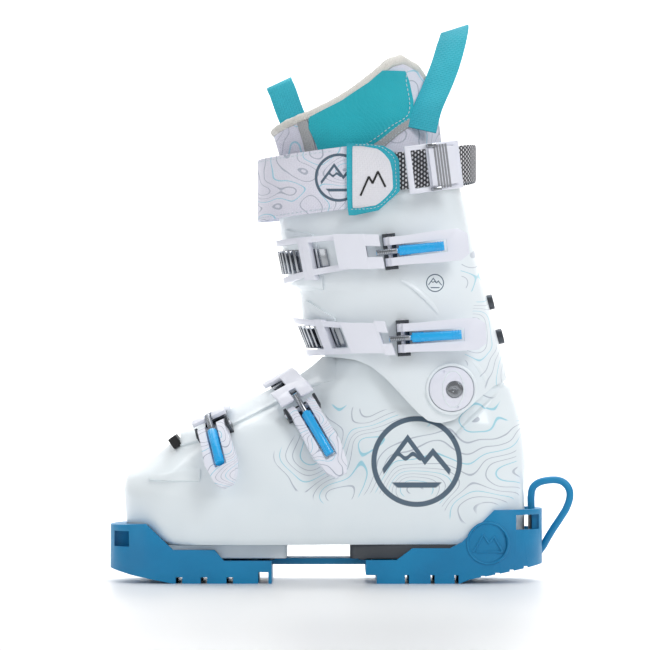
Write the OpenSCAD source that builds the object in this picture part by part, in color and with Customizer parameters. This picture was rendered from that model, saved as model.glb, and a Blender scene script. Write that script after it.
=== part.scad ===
// Alpine ski boot, left foot, on a slip-on rubber walking sole.
// +X toe to heel, +Y towards the inner side of the foot, +Z up.
// Origin: ground face of the middle heel tread lug.

/* [Lower shell] */
// Overall width of the lower shell across the ball of the foot
forefoot_w = 108; // [102:1:112]
// Overall width of the lower shell round the heel
heel_w = 82; // [78:1:86]
// Wall of the lower shell
shell_wall = 4.5; // [3.5:0.5:5]

/* [Cuff] */
// Overall width of the cuff at its top
cuff_top_w = 116; // [112:1:118]
// Wall of the cuff
cuff_wall = 4; // [3.5:0.5:4.5]
// Radius of the canting disc at the outer ankle
disc_r = 15.2; // [13:0.2:16]

/* [Liner] */
// Padding thickness of the liner
liner_pad = 8; // [6:0.5:9]
// Width of the power strap
strap_w = 43; // [38:1:45]

/* [Buckles] */
// Width of a buckle lever
lever_w = 20; // [18:0.5:21]
// Radius of the micro-adjust barrel
barrel_r = 3.2; // [2.8:0.1:3.4]
// Radius of the lever pins
pin_r = 1.5; // [1.2:0.1:1.6]

/* [Walking sole] */
// Width of the toe piece
toe_piece_w = 78; // [76:1:82]
// Width of the heel piece
heel_piece_w = 80; // [78:1:84]
// Thickness of the carrying handle
handle_t = 5.2; // [4:0.2:6]

/* [Hidden] */

// Side profiles, as [height, x] and [x, height] pairs
shell_front = [[27, -198], [41, -204.9], [65, -207], [74, -204.2], [81, -193.2], [87.4, -184.2], [95.7, -174.6],
               [102.6, -168.4], [107.4, -155.9], [119.8, -132.5], [133, -104.9], [144.7, -82.1], [152.3, -72.5],
               [157.1, -67.3], [165, -61]];
shell_rear = [[27, 74], [47, 74.5], [66, 74], [80, 75.6], [99.8, 73.8], [117, 70.4], [130.9, 66.2], [136, 64.6],
              [140.5, 57], [165, 46]];
shell_top = concat([for (p = shell_front) if (p[0] > 60 && p[0] < 160) [p[1], p[0]]],
                   [[-61, 176], [-50, 230], [-30, 400], [80, 900]]);
cuff_front = [[105, -58], [130, -64], [157, -71], [184, -81.5], [203, -83.5], [207, -90.5], [236, -96], [250, -97.5],
              [300, -104]];
cuff_rear = [[105, 73], [143, 62.8], [175.7, 53.8], [217, 42.8], [255, 34.5], [276, 29], [300, 24]];
cuff_low = [[-80, 162], [-70, 157.5], [-55.2, 156.4], [-44.9, 155], [-34.5, 150.9], [-24.2, 142.6], [-13.8, 131.6],
            [-3.5, 120.5], [3.5, 113.6], [13.8, 111.2], [24.2, 113.6], [34.5, 121.9], [41.4, 128.1], [51.8, 136.4],
            [66, 142.6]];
pivot = [23.8, 0, 134.7];
flex = 6;

function mix(a, b, t) = a + (b - a) * t;
function sg(v) = v < 0 ? -1 : 1;
function pw(v, e) = pow(max(v, 0), e);

// Half width of the lower shell at x and height z, d inside its outer face
function plan_w(x) = lookup(x, [[-207, 40], [-185, 47], [-160, 52], [-125, 54], [-95, 52], [-60, 46], [-20, 42], [20, 41],
                                [60, 41], [76, 41]]) * (x < -60 ? forefoot_w / 108 : heel_w / 82);
function level_w(z) = lookup(z, [[27, 0.86], [40, 0.93], [60, 1], [110, 1], [122, 0.93], [165, 0.95]]);
function plan_c(x) = lookup(x, [[-207, 6], [-160, 2], [-120, -1], [-60, 0], [80, 0]]);
function shell_f(z, d) = max(lookup(z, shell_front) + d, z > 65 ? lookup(z + d, shell_front) : -999);
function half_w(x, z, d) =
    let(top = lookup(x, shell_top) - d, f = shell_f(z, d), r = lookup(z, shell_rear) - d,
        k = (z - 45) / max(top - 45, 1),
        dome = k <= 0 ? 1 : pw(1 - pw(k, 2.9), 0.5),
        u = min(1, (x - f) / 48), v = min(1, (r - x) / 40))
    max(0.4, (plan_w(x) * level_w(z) - d) * dome * pw(1 - pw(1 - u, 2.5), 0.45) * pw(1 - pw(1 - v, 2.3), 0.5));

// One ring of the shell at height z: n points a side, front to rear and back
function shell_pt(k, n, z, d) =
    let(f = shell_f(z, d), r = lookup(z, shell_rear) - d, x = mix(f, r, (1 - cos(180 * k / n)) / 2), s = k <= n ? -1 : 1)
    [x, plan_c(x) + s * (k == 0 || k == n ? 0 : half_w(x, z, d)), z];
function shell_ring(z, d, n) = [for (k = [0 : 2 * n - 1]) shell_pt(k, n, z, d)];

// Cuff outline at height z: t = 0 at the front, 0.25 at the outer side; d outside its outer face
function cuff_half(z) = lookup(z, [[105, 49], [135, 50.5], [165, 51.5], [205, 54], [250, 57], [300, 59]]) * cuff_top_w / 116;
function cuff_pt(t, z, d) =
    let(f = lookup(z, cuff_front) - d, r = lookup(z, cuff_rear) + d, m = (f + r) / 2, c = cos(360 * t), s = sin(360 * t))
    [m - (r - f) / 2 * sg(c) * pw(abs(c), 0.84), -(cuff_half(z) + d) * sg(s) * pw(abs(s), 0.8), z];
function cuff_low_z(t, d) = let(z1 = lookup(cuff_pt(t, 150, d)[0], cuff_low), z2 = lookup(cuff_pt(t, z1, d)[0], cuff_low))
    lookup(cuff_pt(t, z2, d)[0], cuff_low) + 10 * max(0, 1 - min(t, 1 - t) / 0.07);
function cuff_top_z(t) = 273 - 11 * cos(360 * t);

// Triangles joining a list of equal rings; a closed list joins the last ring to the first
function strips(m, n, closed) =
    [for (j = [0 : m - (closed ? 1 : 2)]) for (i = [0 : n - 1])
        let(a = j * n + i, b = j * n + (i + 1) % n, q = ((j + 1) % m) * n, c = q + i, e = q + (i + 1) % n)
        each [[a, b, e], [a, e, c]]];
module skin(rings) {
    n = len(rings[0]);
    m = len(rings);
    polyhedron([for (r = rings) each r],
               concat(strips(m, n, false), [[for (i = [n - 1 : -1 : 0]) i], [for (i = [0 : n - 1]) (m - 1) * n + i]]));
}
module ring_shell(rings) {
    polyhedron([for (r = rings) each r], strips(len(rings), len(rings[0]), true));
}
// Turns the cuff body by a about the ankle pivots
module flexed(a) { translate(pivot) rotate([0, -a, 0]) translate(-pivot) children(); }
// Places a buckle frame: origin, lever direction e1 and outward direction e3
module placed(b) {
    e1 = b[1] / norm(b[1]);
    e3 = let(v = b[2] - (b[2] * e1) * e1) v / norm(v);
    e2 = cross(e3, e1);
    p = b[0];
    multmatrix([[e1[0], e2[0], e3[0], p[0]], [e1[1], e2[1], e3[1], p[1]], [e1[2], e2[2], e3[2], p[2]], [0, 0, 0, 1]])
        children();
}
upper = [[-20.7, -62.8, 229.6], [0.9945, 0, 0.1045], [0, -1, 0]];
lower = [[-11.7, -58.8, 170.2], [0.998, 0, 0.06], [0, -1, 0]];
instep = [[-81.4, -44.2, 121.9], [0.47, -0.27, -0.8], [-0.1, -0.9, 0.42]];
toe = [[-142.8, -37, 106.7], [0.2, -0.68, -0.7], [-0.39, -0.72, 0.58]];

// A band that follows the cuff: t from t0 to t1, centre height z0 to z1, width w0 to w1, between d0 and d1 off the face
module band(t0, t1, z0, z1, w0, w1, d0, d1, n = 14) {
    skin([for (k = [0 : n]) let(t = mix(t0, t1, k / n), z = mix(z0, z1, k / n), w = mix(w0, w1, k / n) / 2)
        [cuff_pt(t, z - w, d0), cuff_pt(t, z - w, d1), cuff_pt(t, z + w, d1), cuff_pt(t, z + w, d0)]]);
}
// Rounded bar along local Y
module bar(x, z, r, w) { translate([x, w / 2, z]) rotate([90, 0, 0]) cylinder(r = r, h = w, $fn = 32); }
module lever_blank(len, tip) {
    linear_extrude(9.5) polygon([[-4, -lever_w / 2], [12, -lever_w / 2], [len * 0.62, -lever_w / 2 - 1], [len - 6, -tip - 3],
        [len, -tip + 1], [len, tip - 1], [len - 6, tip + 3], [len * 0.62, lever_w / 2 + 1], [12, lever_w / 2], [-4, lever_w / 2]]);
}
// Lever with a through slot for the barrel; hinge pins at the origin and at p1
p1 = [10, 0, 2];
module lever(len, tip, slot) {
    difference() {
        translate([0, 0, -3.4]) lever_blank(len, tip);
        translate([-20, -barrel_r - 1.2, -20]) cube([20 + slot, 2 * barrel_r + 2.4, 60]);
        translate([len * 0.6, -30, 6.1]) rotate([0, 10, 0]) cube([60, 60, 20]);
        translate([len * 0.45, -30, -3.4]) rotate([0, -4, 0]) translate([0, 0, -20]) cube([60, 60, 20]);
        difference() {
            translate([-8, -30, -8]) cube([8, 60, 20]);
            bar(0, 0, 4.1, 60);
        }
        bar(0, 0, pin_r, 60);
        bar(p1[0], p1[2], pin_r, 60);
    }
    bar(0, 0, pin_r, lever_w + 6);
    bar(p1[0], p1[2], pin_r, lever_w - 1);
}
// Barrel with its swivel foot round the lever's second pin, and the threaded rod
module barrel(len, rod) {
    difference() {
        union() {
            translate([6, 0, 5.4]) rotate([0, 90, 0]) cylinder(r = barrel_r, h = len, $fn = 32);
            translate([6, -3.4, -0.8]) cube([8, 6.8, 6]);
        }
        bar(p1[0], p1[2], pin_r + 0.35, 60);
    }
    translate([-rod, 0, 5.4]) rotate([0, 90, 0]) cylinder(r = 1.9, h = rod + 6.01, $fn = 24);
}
// Bracket: base plate and two ears with bores for the lever's pin
module bracket(drop, splay = 0) {
    difference() {
        union() {
            for (s = [-1, 1]) translate([-4.5, s > 0 ? lever_w / 2 + 0.4 : -lever_w / 2 - 2.4, -drop]) cube([9, 2, drop + 3.5]);
            translate([-4.5, -lever_w / 2 - 2.4, -drop]) cube([9, lever_w + 4.8, 1.5]);
        }
        bar(0, 0, pin_r + 0.35, 60);
    }
}

module lower_shell() color([0.9, 0.93, 0.95]) resize([0, 0, 0]) difference() {
    skin(concat(
        [for (z = [27, 40, 52, 65, 74, 81, 87.4, 95.7, 102.6, 107.4, 114, 119.8, 126, 133, 136, 140.5, 144.7, 152.3, 157.1])
            shell_ring(z, 0, 18)],
        [for (z = [157.1, 153, 148, 140, 134, 122, 110, 98, 86, 74, 60, 40]) shell_ring(z, shell_wall, 18)]));
    translate([-170.5, 0, 98.5]) rotate([0, -35, 0]) cube([7, 40, 12], center = true);
}
module toe_seal() color([0.15, 0.15, 0.16]) translate([-170.3, 0, 97.6]) rotate([0, -35, 0]) cube([6.4, 39.4, 8], center = true);
// Rounded sole plan: an extruded outline from x0 to x1 and z0 to z1
module block(x0, x1, w, z0, z1, r0, r1) {
    translate([0, 0, z0]) linear_extrude(z1 - z0) hull() {
        for (s = [-1, 1]) {
            translate([x0 + r0, s * (w / 2 - r0)]) circle(r = r0, $fn = 40);
            translate([x1 - r1, s * (w / 2 - r1)]) circle(r = r1, $fn = 40);
        }
    }
}
module toe_sole() color([0.62, 0.63, 0.65]) block(-204, -92, 68, 17.2, 26.6, 30, 4);
module heel_sole() color([0.3, 0.31, 0.33]) difference() {
    union() {
        block(-48, 81, 68, 17.2, 26.6, 4, 30);
        block(-2, 81, 66, 26.6, 47.4, 4, 30);
    }
    block(-30, 77.5, 120, 26.6, 60, 4, 30);
}
module sole_screws() color([0.2, 0.2, 0.22]) for (x = [-185, -105, -38, 40], s = [-1, 1])
    translate([x, s * (x < -180 || x > 30 ? 14 : 22), 15.9]) cylinder(r = 4.5, h = 1.2, $fn = 24);
module boot_board() color([0.35, 0.36, 0.38]) resize([0, 0, 0]) skin([for (z = [40.4, 43, 47]) shell_ring(z, shell_wall + 1.2, 16)]);
module footbed() color([0.55, 0.62, 0.66]) resize([0, 0, 0])
    skin([for (z = [47.4, 50]) shell_ring(z, shell_wall + liner_pad + 1.4, 16)]);
// Liner: the foot part ends under the leg part with room for it to tip forward
function foot_ring(v, d, n, z0) = [for (k = [0 : 2 * n - 1])
    let(x = shell_pt(k, n, 148, d)[0], top = 147 + max(0, pivot[0] - x) * 0.07) shell_pt(k, n, mix(z0, top, v), d)];
module liner_foot() color([0.86, 0.86, 0.92]) skin(concat(
    [for (j = [0 : 10]) foot_ring(j / 10, shell_wall + 1.5, 18, 50.4)],
    [for (j = [9 : -1 : 0]) foot_ring(j / 10 * 0.97 + 0.03, shell_wall + liner_pad + 0.4, 18, 50.4)]));
function liner_pt(t, z, d) =
    let(k = lookup(z, [[150, 0], [296, 0], [365, 1]]),
        f = lookup(z, [[140, -57], [165, -58], [172, -64], [184, -72], [236, -85], [296.5, -97.5], [313, -102.5], [340, -106]]) - d,
        r = lookup(z, [[140, 43], [160, 42], [172, 43], [217, 35], [276, 22], [306.8, 16.6], [332, 13.8], [362, 9]]) + d,
        h = lookup(z, [[140, 31], [169, 31.2], [179, 42.5], [184, 45], [250, 50], [300, 50], [365, 47]]) + d, c = cos(360 * t), s = sin(360 * t))
    [(f + r) / 2 - (r - f) / 2 * sg(c) * pw(abs(c), 0.86), -h * sg(s) * pw(abs(s), 0.86), z];
// Height of the collar along the leg opening: low in front, high at the rear quarters
liner_rim = [[-103, 313], [-93, 318], [-73.8, 325], [-55, 334], [-35, 347.5], [-19, 360], [-11, 362.4], [0, 357], [9, 345], [14, 336]];
function rim_z(t) = let(z1 = lookup(liner_pt(t, 330, 0)[0], liner_rim)) lookup(liner_pt(t, z1, 0)[0], liner_rim);
function bottom_z(t) = 135 + lookup(cos(360 * t), [[-1, 14], [0.2, 20], [1, 31]]);
// The padding is thinner round the ankle
function ankle_pad(z) = liner_pad * lookup(z, [[150, 0.62], [172, 0.62], [190, 1]]);
module liner_cuff() color([0.86, 0.86, 0.92]) ring_shell(concat(
    [for (j = [0 : 12]) [for (i = [0 : 35]) liner_pt(i / 36, mix(bottom_z(i / 36), rim_z(i / 36) - 3.2, j / 12), 0)]],
    [for (j = [12 : -1 : 0]) [for (i = [0 : 35]) let(z = mix(bottom_z(i / 36), rim_z(i / 36) - 3.2, j / 12)) liner_pt(i / 36, z, -ankle_pad(z))]]));
module liner_tongue() color([0.8, 0.8, 0.88]) resize([0, 0, 0]) skin([for (k = [0 : 12]) let(t = mix(-0.1, 0.1, k / 12))
    [liner_pt(t, 180, -liner_pad - 5), liner_pt(t, 180, -liner_pad - 0.4),
     liner_pt(t, 300, -liner_pad - 0.4), liner_pt(t, 300, -liner_pad - 5)]]);
// Rolled binding along the collar
module liner_binding() color([0.85, 0.83, 0.78]) ring_shell([for (a = [0 : 45 : 315]) [for (i = [0 : 35])
    liner_pt(i / 36, rim_z(i / 36) + 0.5 + 3.4 * sin(a), -liner_pad / 2 + (liner_pad / 2 + 0.8) * cos(a))]]);
// Flat webbing swept along a list of centre points, width along Y
module web(pts, w, t) {
    n = len(pts) - 1;
    skin([for (i = [0 : n]) let(d = pts[min(n, i + 1)] - pts[max(0, i - 1)], e = [-d[2], 0, d[0]] / norm([d[0], d[2]]) * t / 2, y = [0, w / 2, 0])
        [pts[i] - e - y, pts[i] + e - y, pts[i] + e + y, pts[i] - e + y]]);
}
// Folded pull loop: webbing of width w across the direction d, through centre points
module loop(pts, d, w, t) {
    n = len(pts) - 1;
    skin([for (i = [0 : n]) let(g = pts[min(n, i + 1)] - pts[max(0, i - 1)], k = cross(g, d), e = k / norm(k) * t / 2, f = d / norm(d) * w / 2)
        [pts[i] - e - f, pts[i] + e - f, pts[i] + e + f, pts[i] - e + f]]);
}
module front_loop() color([0.13, 0.65, 0.72]) loop([[-79, -3.5, 298], [-83, -4.5, 312], [-90, -5.5, 328], [-95, -6, 342], [-97, -5, 346.5],
    [-97.6, -2, 348.3], [-97.6, 1, 348.3], [-97, 4, 346.5], [-95, 5, 342], [-90, 4.5, 328], [-83, 3.5, 312], [-79, 3, 298]], [0.9, 0, 0.42], 19, 1.8);
module rear_loop() color([0.13, 0.65, 0.72]) loop([[1.5, -43.5, 314], [5.5, -40, 329], [12.4, -33, 345], [18.6, -26, 361], [23, -17, 376], [24.8, -10, 383], [25.5, -4, 386],
    [25.5, 4, 386], [24.8, 10, 383], [23, 17, 376], [18.6, 26, 361], [12.4, 33, 345], [5.5, 40, 329], [1.5, 43.5, 314]], [0.95, 0, 0.3], 20, 1.8);

module cuff() color([0.92, 0.94, 0.97]) difference() {
    ring_shell(concat(
        [for (j = [0 : 8]) [for (i = [0 : 35]) cuff_pt(i / 36, mix(cuff_low_z(i / 36, 0), cuff_top_z(i / 36), j / 8), 0)]],
        [for (j = [8 : -1 : 0]) [for (i = [0 : 35]) cuff_pt(i / 36, mix(cuff_low_z(i / 36, 0), cuff_top_z(i / 36), j / 8), -cuff_wall)]]));
    translate(pivot) rotate([90, 0, 0]) cylinder(r = 4.4, h = 300, center = true, $fn = 32);
}
module pivot_bosses() color([0.75, 0.76, 0.78]) for (s = [-1, 1])
    translate([pivot[0], s * 37, pivot[2]]) rotate([s * -90, 0, 0]) cylinder(r = 4, h = 6.1, $fn = 40);
// Ladder of a cuff buckle: strip, teeth and one hook tooth
module cuff_ladder(z, w, t0, t1, tall, tb) {
    band(t0, t1, z, z + 1, w, w, 0.4, 1.8, 16);
    for (k = [0 : 7]) let(t = t0 + 0.012 + k * 0.0165) band(t, t + 0.006, z, z, w, w, 1.6, 1.8 + tall, 1);
    band(tb, tb + 0.004, z + 1, z + 1, w, w, 1.6, 3.9, 1);
}
module upper_ladder() color([0.75, 0.76, 0.78]) resize([0, 0, 0]) cuff_ladder(222.6, 16, -0.03, 0.17, 2.2, 0.152);
module lower_ladder() color([0.75, 0.76, 0.78]) resize([0, 0, 0]) cuff_ladder(170.8, 15.5, -0.03, 0.15, 3.6, 0.1365);
// Bail of a cuff buckle: two rails, hook bar, plate and the fork beside the threaded rod
module cuff_bail(b, t0, ta, tb, tc, td, te, zf, w) {
    resize([0, 0, 0]) {
        for (s = [-1, 1]) {
            rail(t0, tc, zf + s * w / 2, b[0][2] + s * (w / 2 - 3), 4, 5, 8, 0);
            rail(td, te, b[0][2] + s * 8, b[0][2] + s * 7.6, 8, 10.2, 13, 0);
        }
        rail(ta, tb, zf + 0.5, zf + 0.5, w, 3.4, 8, 0);
        rail(tc - 0.012, td + 0.002, b[0][2], b[0][2], w - 2, 6.4, 13, 0);
    }
}
module rail(t0, t1, z0, z1, w, d0, d1, r) { band(t0, t1, z0, z1, w, w, d0, d1, 12); }
module upper_bail() color([0.93, 0.94, 0.98]) cuff_bail(upper, 0.06, 0.126, 0.148, 0.21, 0.235, 0.2505, 222.6, 26);
module lower_bail() color([0.93, 0.94, 0.98]) cuff_bail(lower, 0.03, 0.112, 0.132, 0.1854, 0.2225, 0.2355, 171, 23);
module upper_barrel() color([0.04, 0.6, 0.87]) placed(upper) barrel(31, 9.6);
module lower_barrel() color([0.04, 0.6, 0.87]) placed(lower) barrel(34, 9.6);
module upper_lever() color([0.93, 0.94, 0.98]) placed(upper) lever(54, 8, 39);
module lower_lever() color([0.93, 0.94, 0.98]) placed(lower) lever(57, 8, 42);
module upper_bracket() color([0.5, 0.51, 0.53]) placed(upper) bracket(6.4);
module lower_bracket() color([0.5, 0.51, 0.53]) placed(lower) bracket(6.4);
module instep_lever() color([0.93, 0.94, 0.98]) placed(instep) lever(56, 5, 42);
module toe_lever() color([0.93, 0.94, 0.98]) placed(toe) lever(54, 5, 38);
module instep_barrel() color([0.04, 0.6, 0.87]) placed(instep) barrel(34, 9.6);
module toe_barrel() color([0.04, 0.6, 0.87]) placed(toe) barrel(30, 9.6);
module instep_bracket() color([0.5, 0.51, 0.53]) placed(instep) bracket(7.1);
module toe_bracket() color([0.5, 0.51, 0.53]) placed(toe) bracket(7.1);
// Ladder of a shell buckle along the list p, with n teeth
module shell_ladder(b, p, n) placed(b) {
    web(p, 15, 1.4);
    for (k = [1 : n]) let(q = p[k] * 0.5 + p[k + 1] * 0.5, d = p[k + 1] - p[k]) translate(q) rotate([0, atan2(-d[2], d[0]), 0])
        translate([-0.5, -7.5, -2.4]) cube([1, 15, 2.2]);
}
instep_run = [[-16, 0, -13.2], [-21, 0, -18.4], [-26.1, 0, -24.5], [-31.2, 0, -31.6], [-35, 0, -38.1]];
toe_run = [[-11.1, 0, -8.9], [-16.1, 0, -11.6], [-21.2, 0, -14.4], [-26.3, 0, -17.5], [-31.3, 0, -21]];
module instep_ladder() color([0.6, 0.61, 0.63]) shell_ladder(instep, instep_run, 3);
module toe_ladder() color([0.6, 0.61, 0.63]) shell_ladder(toe, toe_run, 3);
// Bail of a shell buckle along the list p, with a fork round the rod and a window over the ladder
module shell_bail(b, p) placed(b) difference() {
    web(p, 25, 3);
    translate([-15, -2.6, -14]) cube([12, 5.2, 30]);
    translate([p[4][0] - 1.5, -8, p[4][2] - 8]) rotate([0, -45, 0]) cube([16, 16, 14], center = true);
}
instep_bail_run = [[-6, 0, 5.2], [-10, 0, 3.8], [-14.5, 0, -0.6], [-19, 0, -8.5], [-23.7, 0, -15.2], [-29.9, 0, -22.1], [-35.1, 0, -29.2], [-38.1, 0, -34.6]];
toe_bail_run = [[-6, 0, 5.2], [-10, 0, 4], [-14, 0, 0.2], [-18, 0, -5.4], [-22, 0, -9.4], [-27, 0, -12.8], [-32, 0, -16.6]];
module instep_bail() color([0.93, 0.94, 0.98]) shell_bail(instep, instep_bail_run);
module toe_bail() color([0.93, 0.94, 0.98]) shell_bail(toe, toe_bail_run);
module shell_rivets() color([0.7, 0.71, 0.73]) for (b = [instep, toe], s = [-1, 1]) placed(b)
    translate([0, s * 6, -7.6]) cylinder(r = 2.4, h = 3, $fn = 24);
module cuff_rivets() color([0.7, 0.71, 0.73]) for (b = [upper, lower], s = [-1, 1]) placed(b)
    translate([0, s * 6, -7.6]) cylinder(r = 2.4, h = 3, $fn = 24);
// Round seat moulded into the cuff wall for the canting disc
module disc_seat() color([0.92, 0.94, 0.97]) difference() {
    translate([21.7, -45.6, 135]) rotate([90, 0, 0]) cylinder(r = disc_r + 2.6, h = 6.2, $fn = 48);
    translate([21.7, -49.9, 135]) rotate([90, 0, 0]) cylinder(r = disc_r + 0.4, h = 30, $fn = 48);
    translate(pivot) rotate([90, 0, 0]) cylinder(r = 4.4, h = 300, center = true, $fn = 32);
}
// Canting disc with an eccentric window, set in a boss on the outer side of the cuff
module canting_disc() color([0.9, 0.92, 0.94]) translate([21.7, -50.2, 135]) rotate([90, 0, 0]) difference() {
    cylinder(r = disc_r, h = 2, $fn = 48);
    translate([2.1, -0.3, -1]) cylinder(r = 5.9, h = 9, $fn = 32);
    for (p = [[-5.2, 12], [4.2, -12.4]]) translate([p[0], p[1], 1.2]) cylinder(r = 0.9, h = 3, $fn = 16);
}
// Ankle screws: shaft through the cuff wall and a flat head
module ankle_screw(s, out, r) translate([pivot[0], s * 43.1, pivot[2]]) rotate([s * -90, 0, 0]) difference() {
    union() {
        cylinder(r = 4, h = out, $fn = 32);
        translate([0, 0, out]) cylinder(r = r, h = 2.2, $fn = 40);
    }
    translate([0, 0, out + 1]) cylinder(r = 1.7, h = 6, $fn = 6);
}
module pivot_screw() color([0.7, 0.71, 0.73]) ankle_screw(-1, 7.4, 5.4);
module inner_pivot() color([0.7, 0.71, 0.73]) ankle_screw(1, 8.2, 9);
module spine_bolts() color([0.2, 0.2, 0.22]) for (p = [[49.6, 195], [56.4, 171]])
    translate([p[0], 0, p[1]]) rotate([0, 76, 0]) difference() {
        translate([0, 0, -2]) cylinder(r = 5.4, h = 5, $fn = 32);
        translate([0, 0, 1.4]) cylinder(r = 2, h = 5, $fn = 6);
    }
// Power strap outline: t = 0 in front, 0.25 at the outer side; height h off its centre line
function strap_pt(t, h, d) = let(c = cos(360 * t), s = sin(360 * t), x = -36 - (74.5 + d) * sg(c) * pw(abs(c), 0.84))
    [x, -(61 + d) * sg(s) * pw(abs(s), 0.7), 273 + (x + 111) * 0.125 + h];
module strap_band(t0, t1, w, d0, d1, n) {
    skin([for (k = [0 : n]) let(t = mix(t0, t1, k / n))
        [strap_pt(t, -w / 2, d0), strap_pt(t, -w / 2, d1), strap_pt(t, w / 2, d1), strap_pt(t, w / 2, d0)]]);
}
module power_strap() color([0.87, 0.87, 0.94]) strap_band(-0.25, 0.236, strap_w, 0, 2.4, 28);
module strap_tab() color([0.13, 0.65, 0.72]) resize([0, 0, 0]) intersection() {
    strap_band(0.222, 0.288, strap_w + 4, 2.7, 4.4, 8);
    translate([-32, 0, 279.5]) rotate([90, 0, 0]) linear_extrude(90) polygon([[-19, -25], [5, -24], [17, -13], [20, -8], [20, 10], [14, 18], [5, 24], [-19, 26]]);
}
module strap_webbing() color([0.27, 0.27, 0.29]) strap_band(0.28, 0.752, 26, 0, 1.8, 28);
buckle = [[9, -67.5, 287.5], [0.97, 0.2, 0.13], [0.2, -0.97, 0]];
module strap_frame() color([0.94, 0.94, 0.98]) placed(buckle) difference() {
    translate([-19, -16.5, -1.6]) cube([38, 33, 3.2]);
    translate([-15, -13.2, -5]) cube([11, 26.4, 10]);
    translate([2, -13.2, -5]) cube([13, 26.4, 10]);
}
module strap_pins() color([0.7, 0.71, 0.73]) {
    placed(buckle) for (s = [-1, 1]) translate([-1, s * 15, 1.6]) difference() {
        translate([-3, -1.2, 0]) cube([6, 2.4, 6]);
        bar(0, 3, 1.35, 9);
    }
    for (s = [-1, 1]) translate([-36, 63.6, 282.5 + s * 8]) rotate([-90, 0, 0]) cylinder(r = 4, h = 1.6, $fn = 24);
}
module cam_lever() color([0.85, 0.85, 0.88]) placed(buckle) translate([-1, 0, 4.6]) union() {
    bar(0, 0, 1, 32);
    translate([-2.4, -13, -1.3]) cube([19, 26, 2.6]);
}
// Walking sole: toe piece, connecting strap and heel piece
module slab(w, pts) { translate([0, w / 2, 0]) rotate([90, 0, 0]) linear_extrude(w) polygon(pts); }
module sole_protector() color([0, 0.48, 0.7]) difference() {
    union() {
        intersection() {
            slab(toe_piece_w, [[-215.8, 9.9], [-199.4, 5.7], [-171, 0], [-102.5, 0], [-102.5, 15.7], [-135.6, 15.7],
                               [-142.1, 23.3], [-170.8, 23.3], [-189.8, 41.2], [-215.8, 40]]);
            block(-215.8, -90, toe_piece_w, -1, 60, 34, 3);
        }
        slab(30, [[-104, 12.2], [-36, 12.2], [-36, 16.4], [-104, 16.4]]);
        intersection() {
            slab(heel_piece_w, [[-37.3, 16.3], [-37.3, 6.7], [-33, 0], [27.6, 0], [34.5, 2.9], [86.5, 12.9], [86.5, 51],
                                [51.8, 51], [29.4, 28.8], [21, 24.5], [-5, 24.5], [-15.9, 16.3]]);
            block(-40, 86.5, heel_piece_w, -1, 60, 3, 36);
        }
    }
    block(-204.6, -80, 69, 16.9, 60, 31, 4);
    block(-48.4, 81.4, 69, 16.9, 60, 4, 31);
    translate([-260, -80, 41.3]) cube([52, 160, 40]);
    for (s = [-1, 1]) {
        translate([-212.2, s * 30 - 14, 25.3]) cube([10.6, 28, 10.7]);
        translate([67, s * 30 - 14, 37.1]) cube([16.5, 28, 10.3]);
    }
    for (x = [-169, -151.7, -133.8, -111.8]) translate([x, -60, -1]) cube([x > -115 ? 7 : 4.5, 120, x > -115 ? 9 : 5.5]);
    for (x = [-37.3, -10.2, 7.6, 24.2]) translate([x, -60, -1]) cube([x < -30 ? 7.6 : 2.8, 120, 7]);
    for (x = [44, 54, 64, 74]) translate([x, 0, (x - 27.6) * 0.21]) cube([3, 100, 4], center = true);
    for (x = [-160, -125, -20, 0, 18]) translate([x, -7, -1]) cube([8, 14, 5]);
    for (x = [-185, -105, -38, 40], s = [-1, 1]) translate([x, s * (x < -180 || x > 30 ? 14 : 22), 15.5]) cylinder(r = 5.1, h = 3, $fn = 24);
}
// Tube swept along centre points in the X-Z plane
module tube(pts, r, y) {
    n = len(pts) - 1;
    skin([for (i = [0 : n]) let(d = pts[min(n, i + 1)] - pts[max(0, i - 1)], e = [-d[2], 0, d[0]] / norm([d[0], d[2]]))
        [for (a = [0 : 30 : 330]) pts[i] + e * r * cos(a) + [0, y * sin(a), 0]]]);
}
module protector_handle() color([0, 0.48, 0.7]) tube([[78.6, 0, 48.6], [78.6, 0, 59], [80.4, 0, 65.6], [86, 0, 69.3], [95.2, 0, 70.6], [101.5, 0, 69], [105.4, 0, 64.5],
    [106.4, 0, 58.5], [103.6, 0, 50.5], [98.7, 0, 42.6], [94, 0, 35.5], [91, 0, 30], [89.4, 0, 25]], handle_t / 2, 5);

lower_shell();
toe_seal();
toe_sole();
heel_sole();
sole_screws();
boot_board();
footbed();
liner_foot();
toe_ladder();
instep_ladder();
toe_bracket();
instep_bracket();
shell_rivets();
pivot_bosses();
sole_protector();
protector_handle();
cuff();
upper_ladder();
lower_ladder();
upper_bracket();
lower_bracket();
cuff_rivets();
inner_pivot();
spine_bolts();
liner_cuff();
liner_tongue();
liner_binding();
front_loop();
rear_loop();
power_strap();
strap_tab();
strap_webbing();
strap_frame();
strap_pins();
cam_lever();
disc_seat();
canting_disc();
pivot_screw();
upper_lever();
upper_bail();
upper_barrel();
lower_lever();
lower_bail();
lower_barrel();
instep_lever();
instep_bail();
instep_barrel();
toe_lever();
toe_bail();
toe_barrel();
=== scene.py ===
"""Alpine ski boot with a slip-on walking sole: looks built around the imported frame."""

import logging
import math
from dataclasses import dataclass, field
from enum import Enum
from typing import Callable, Optional, Sequence

import bmesh
import bpy
import numpy as np
from mathutils import Matrix, Vector


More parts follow.
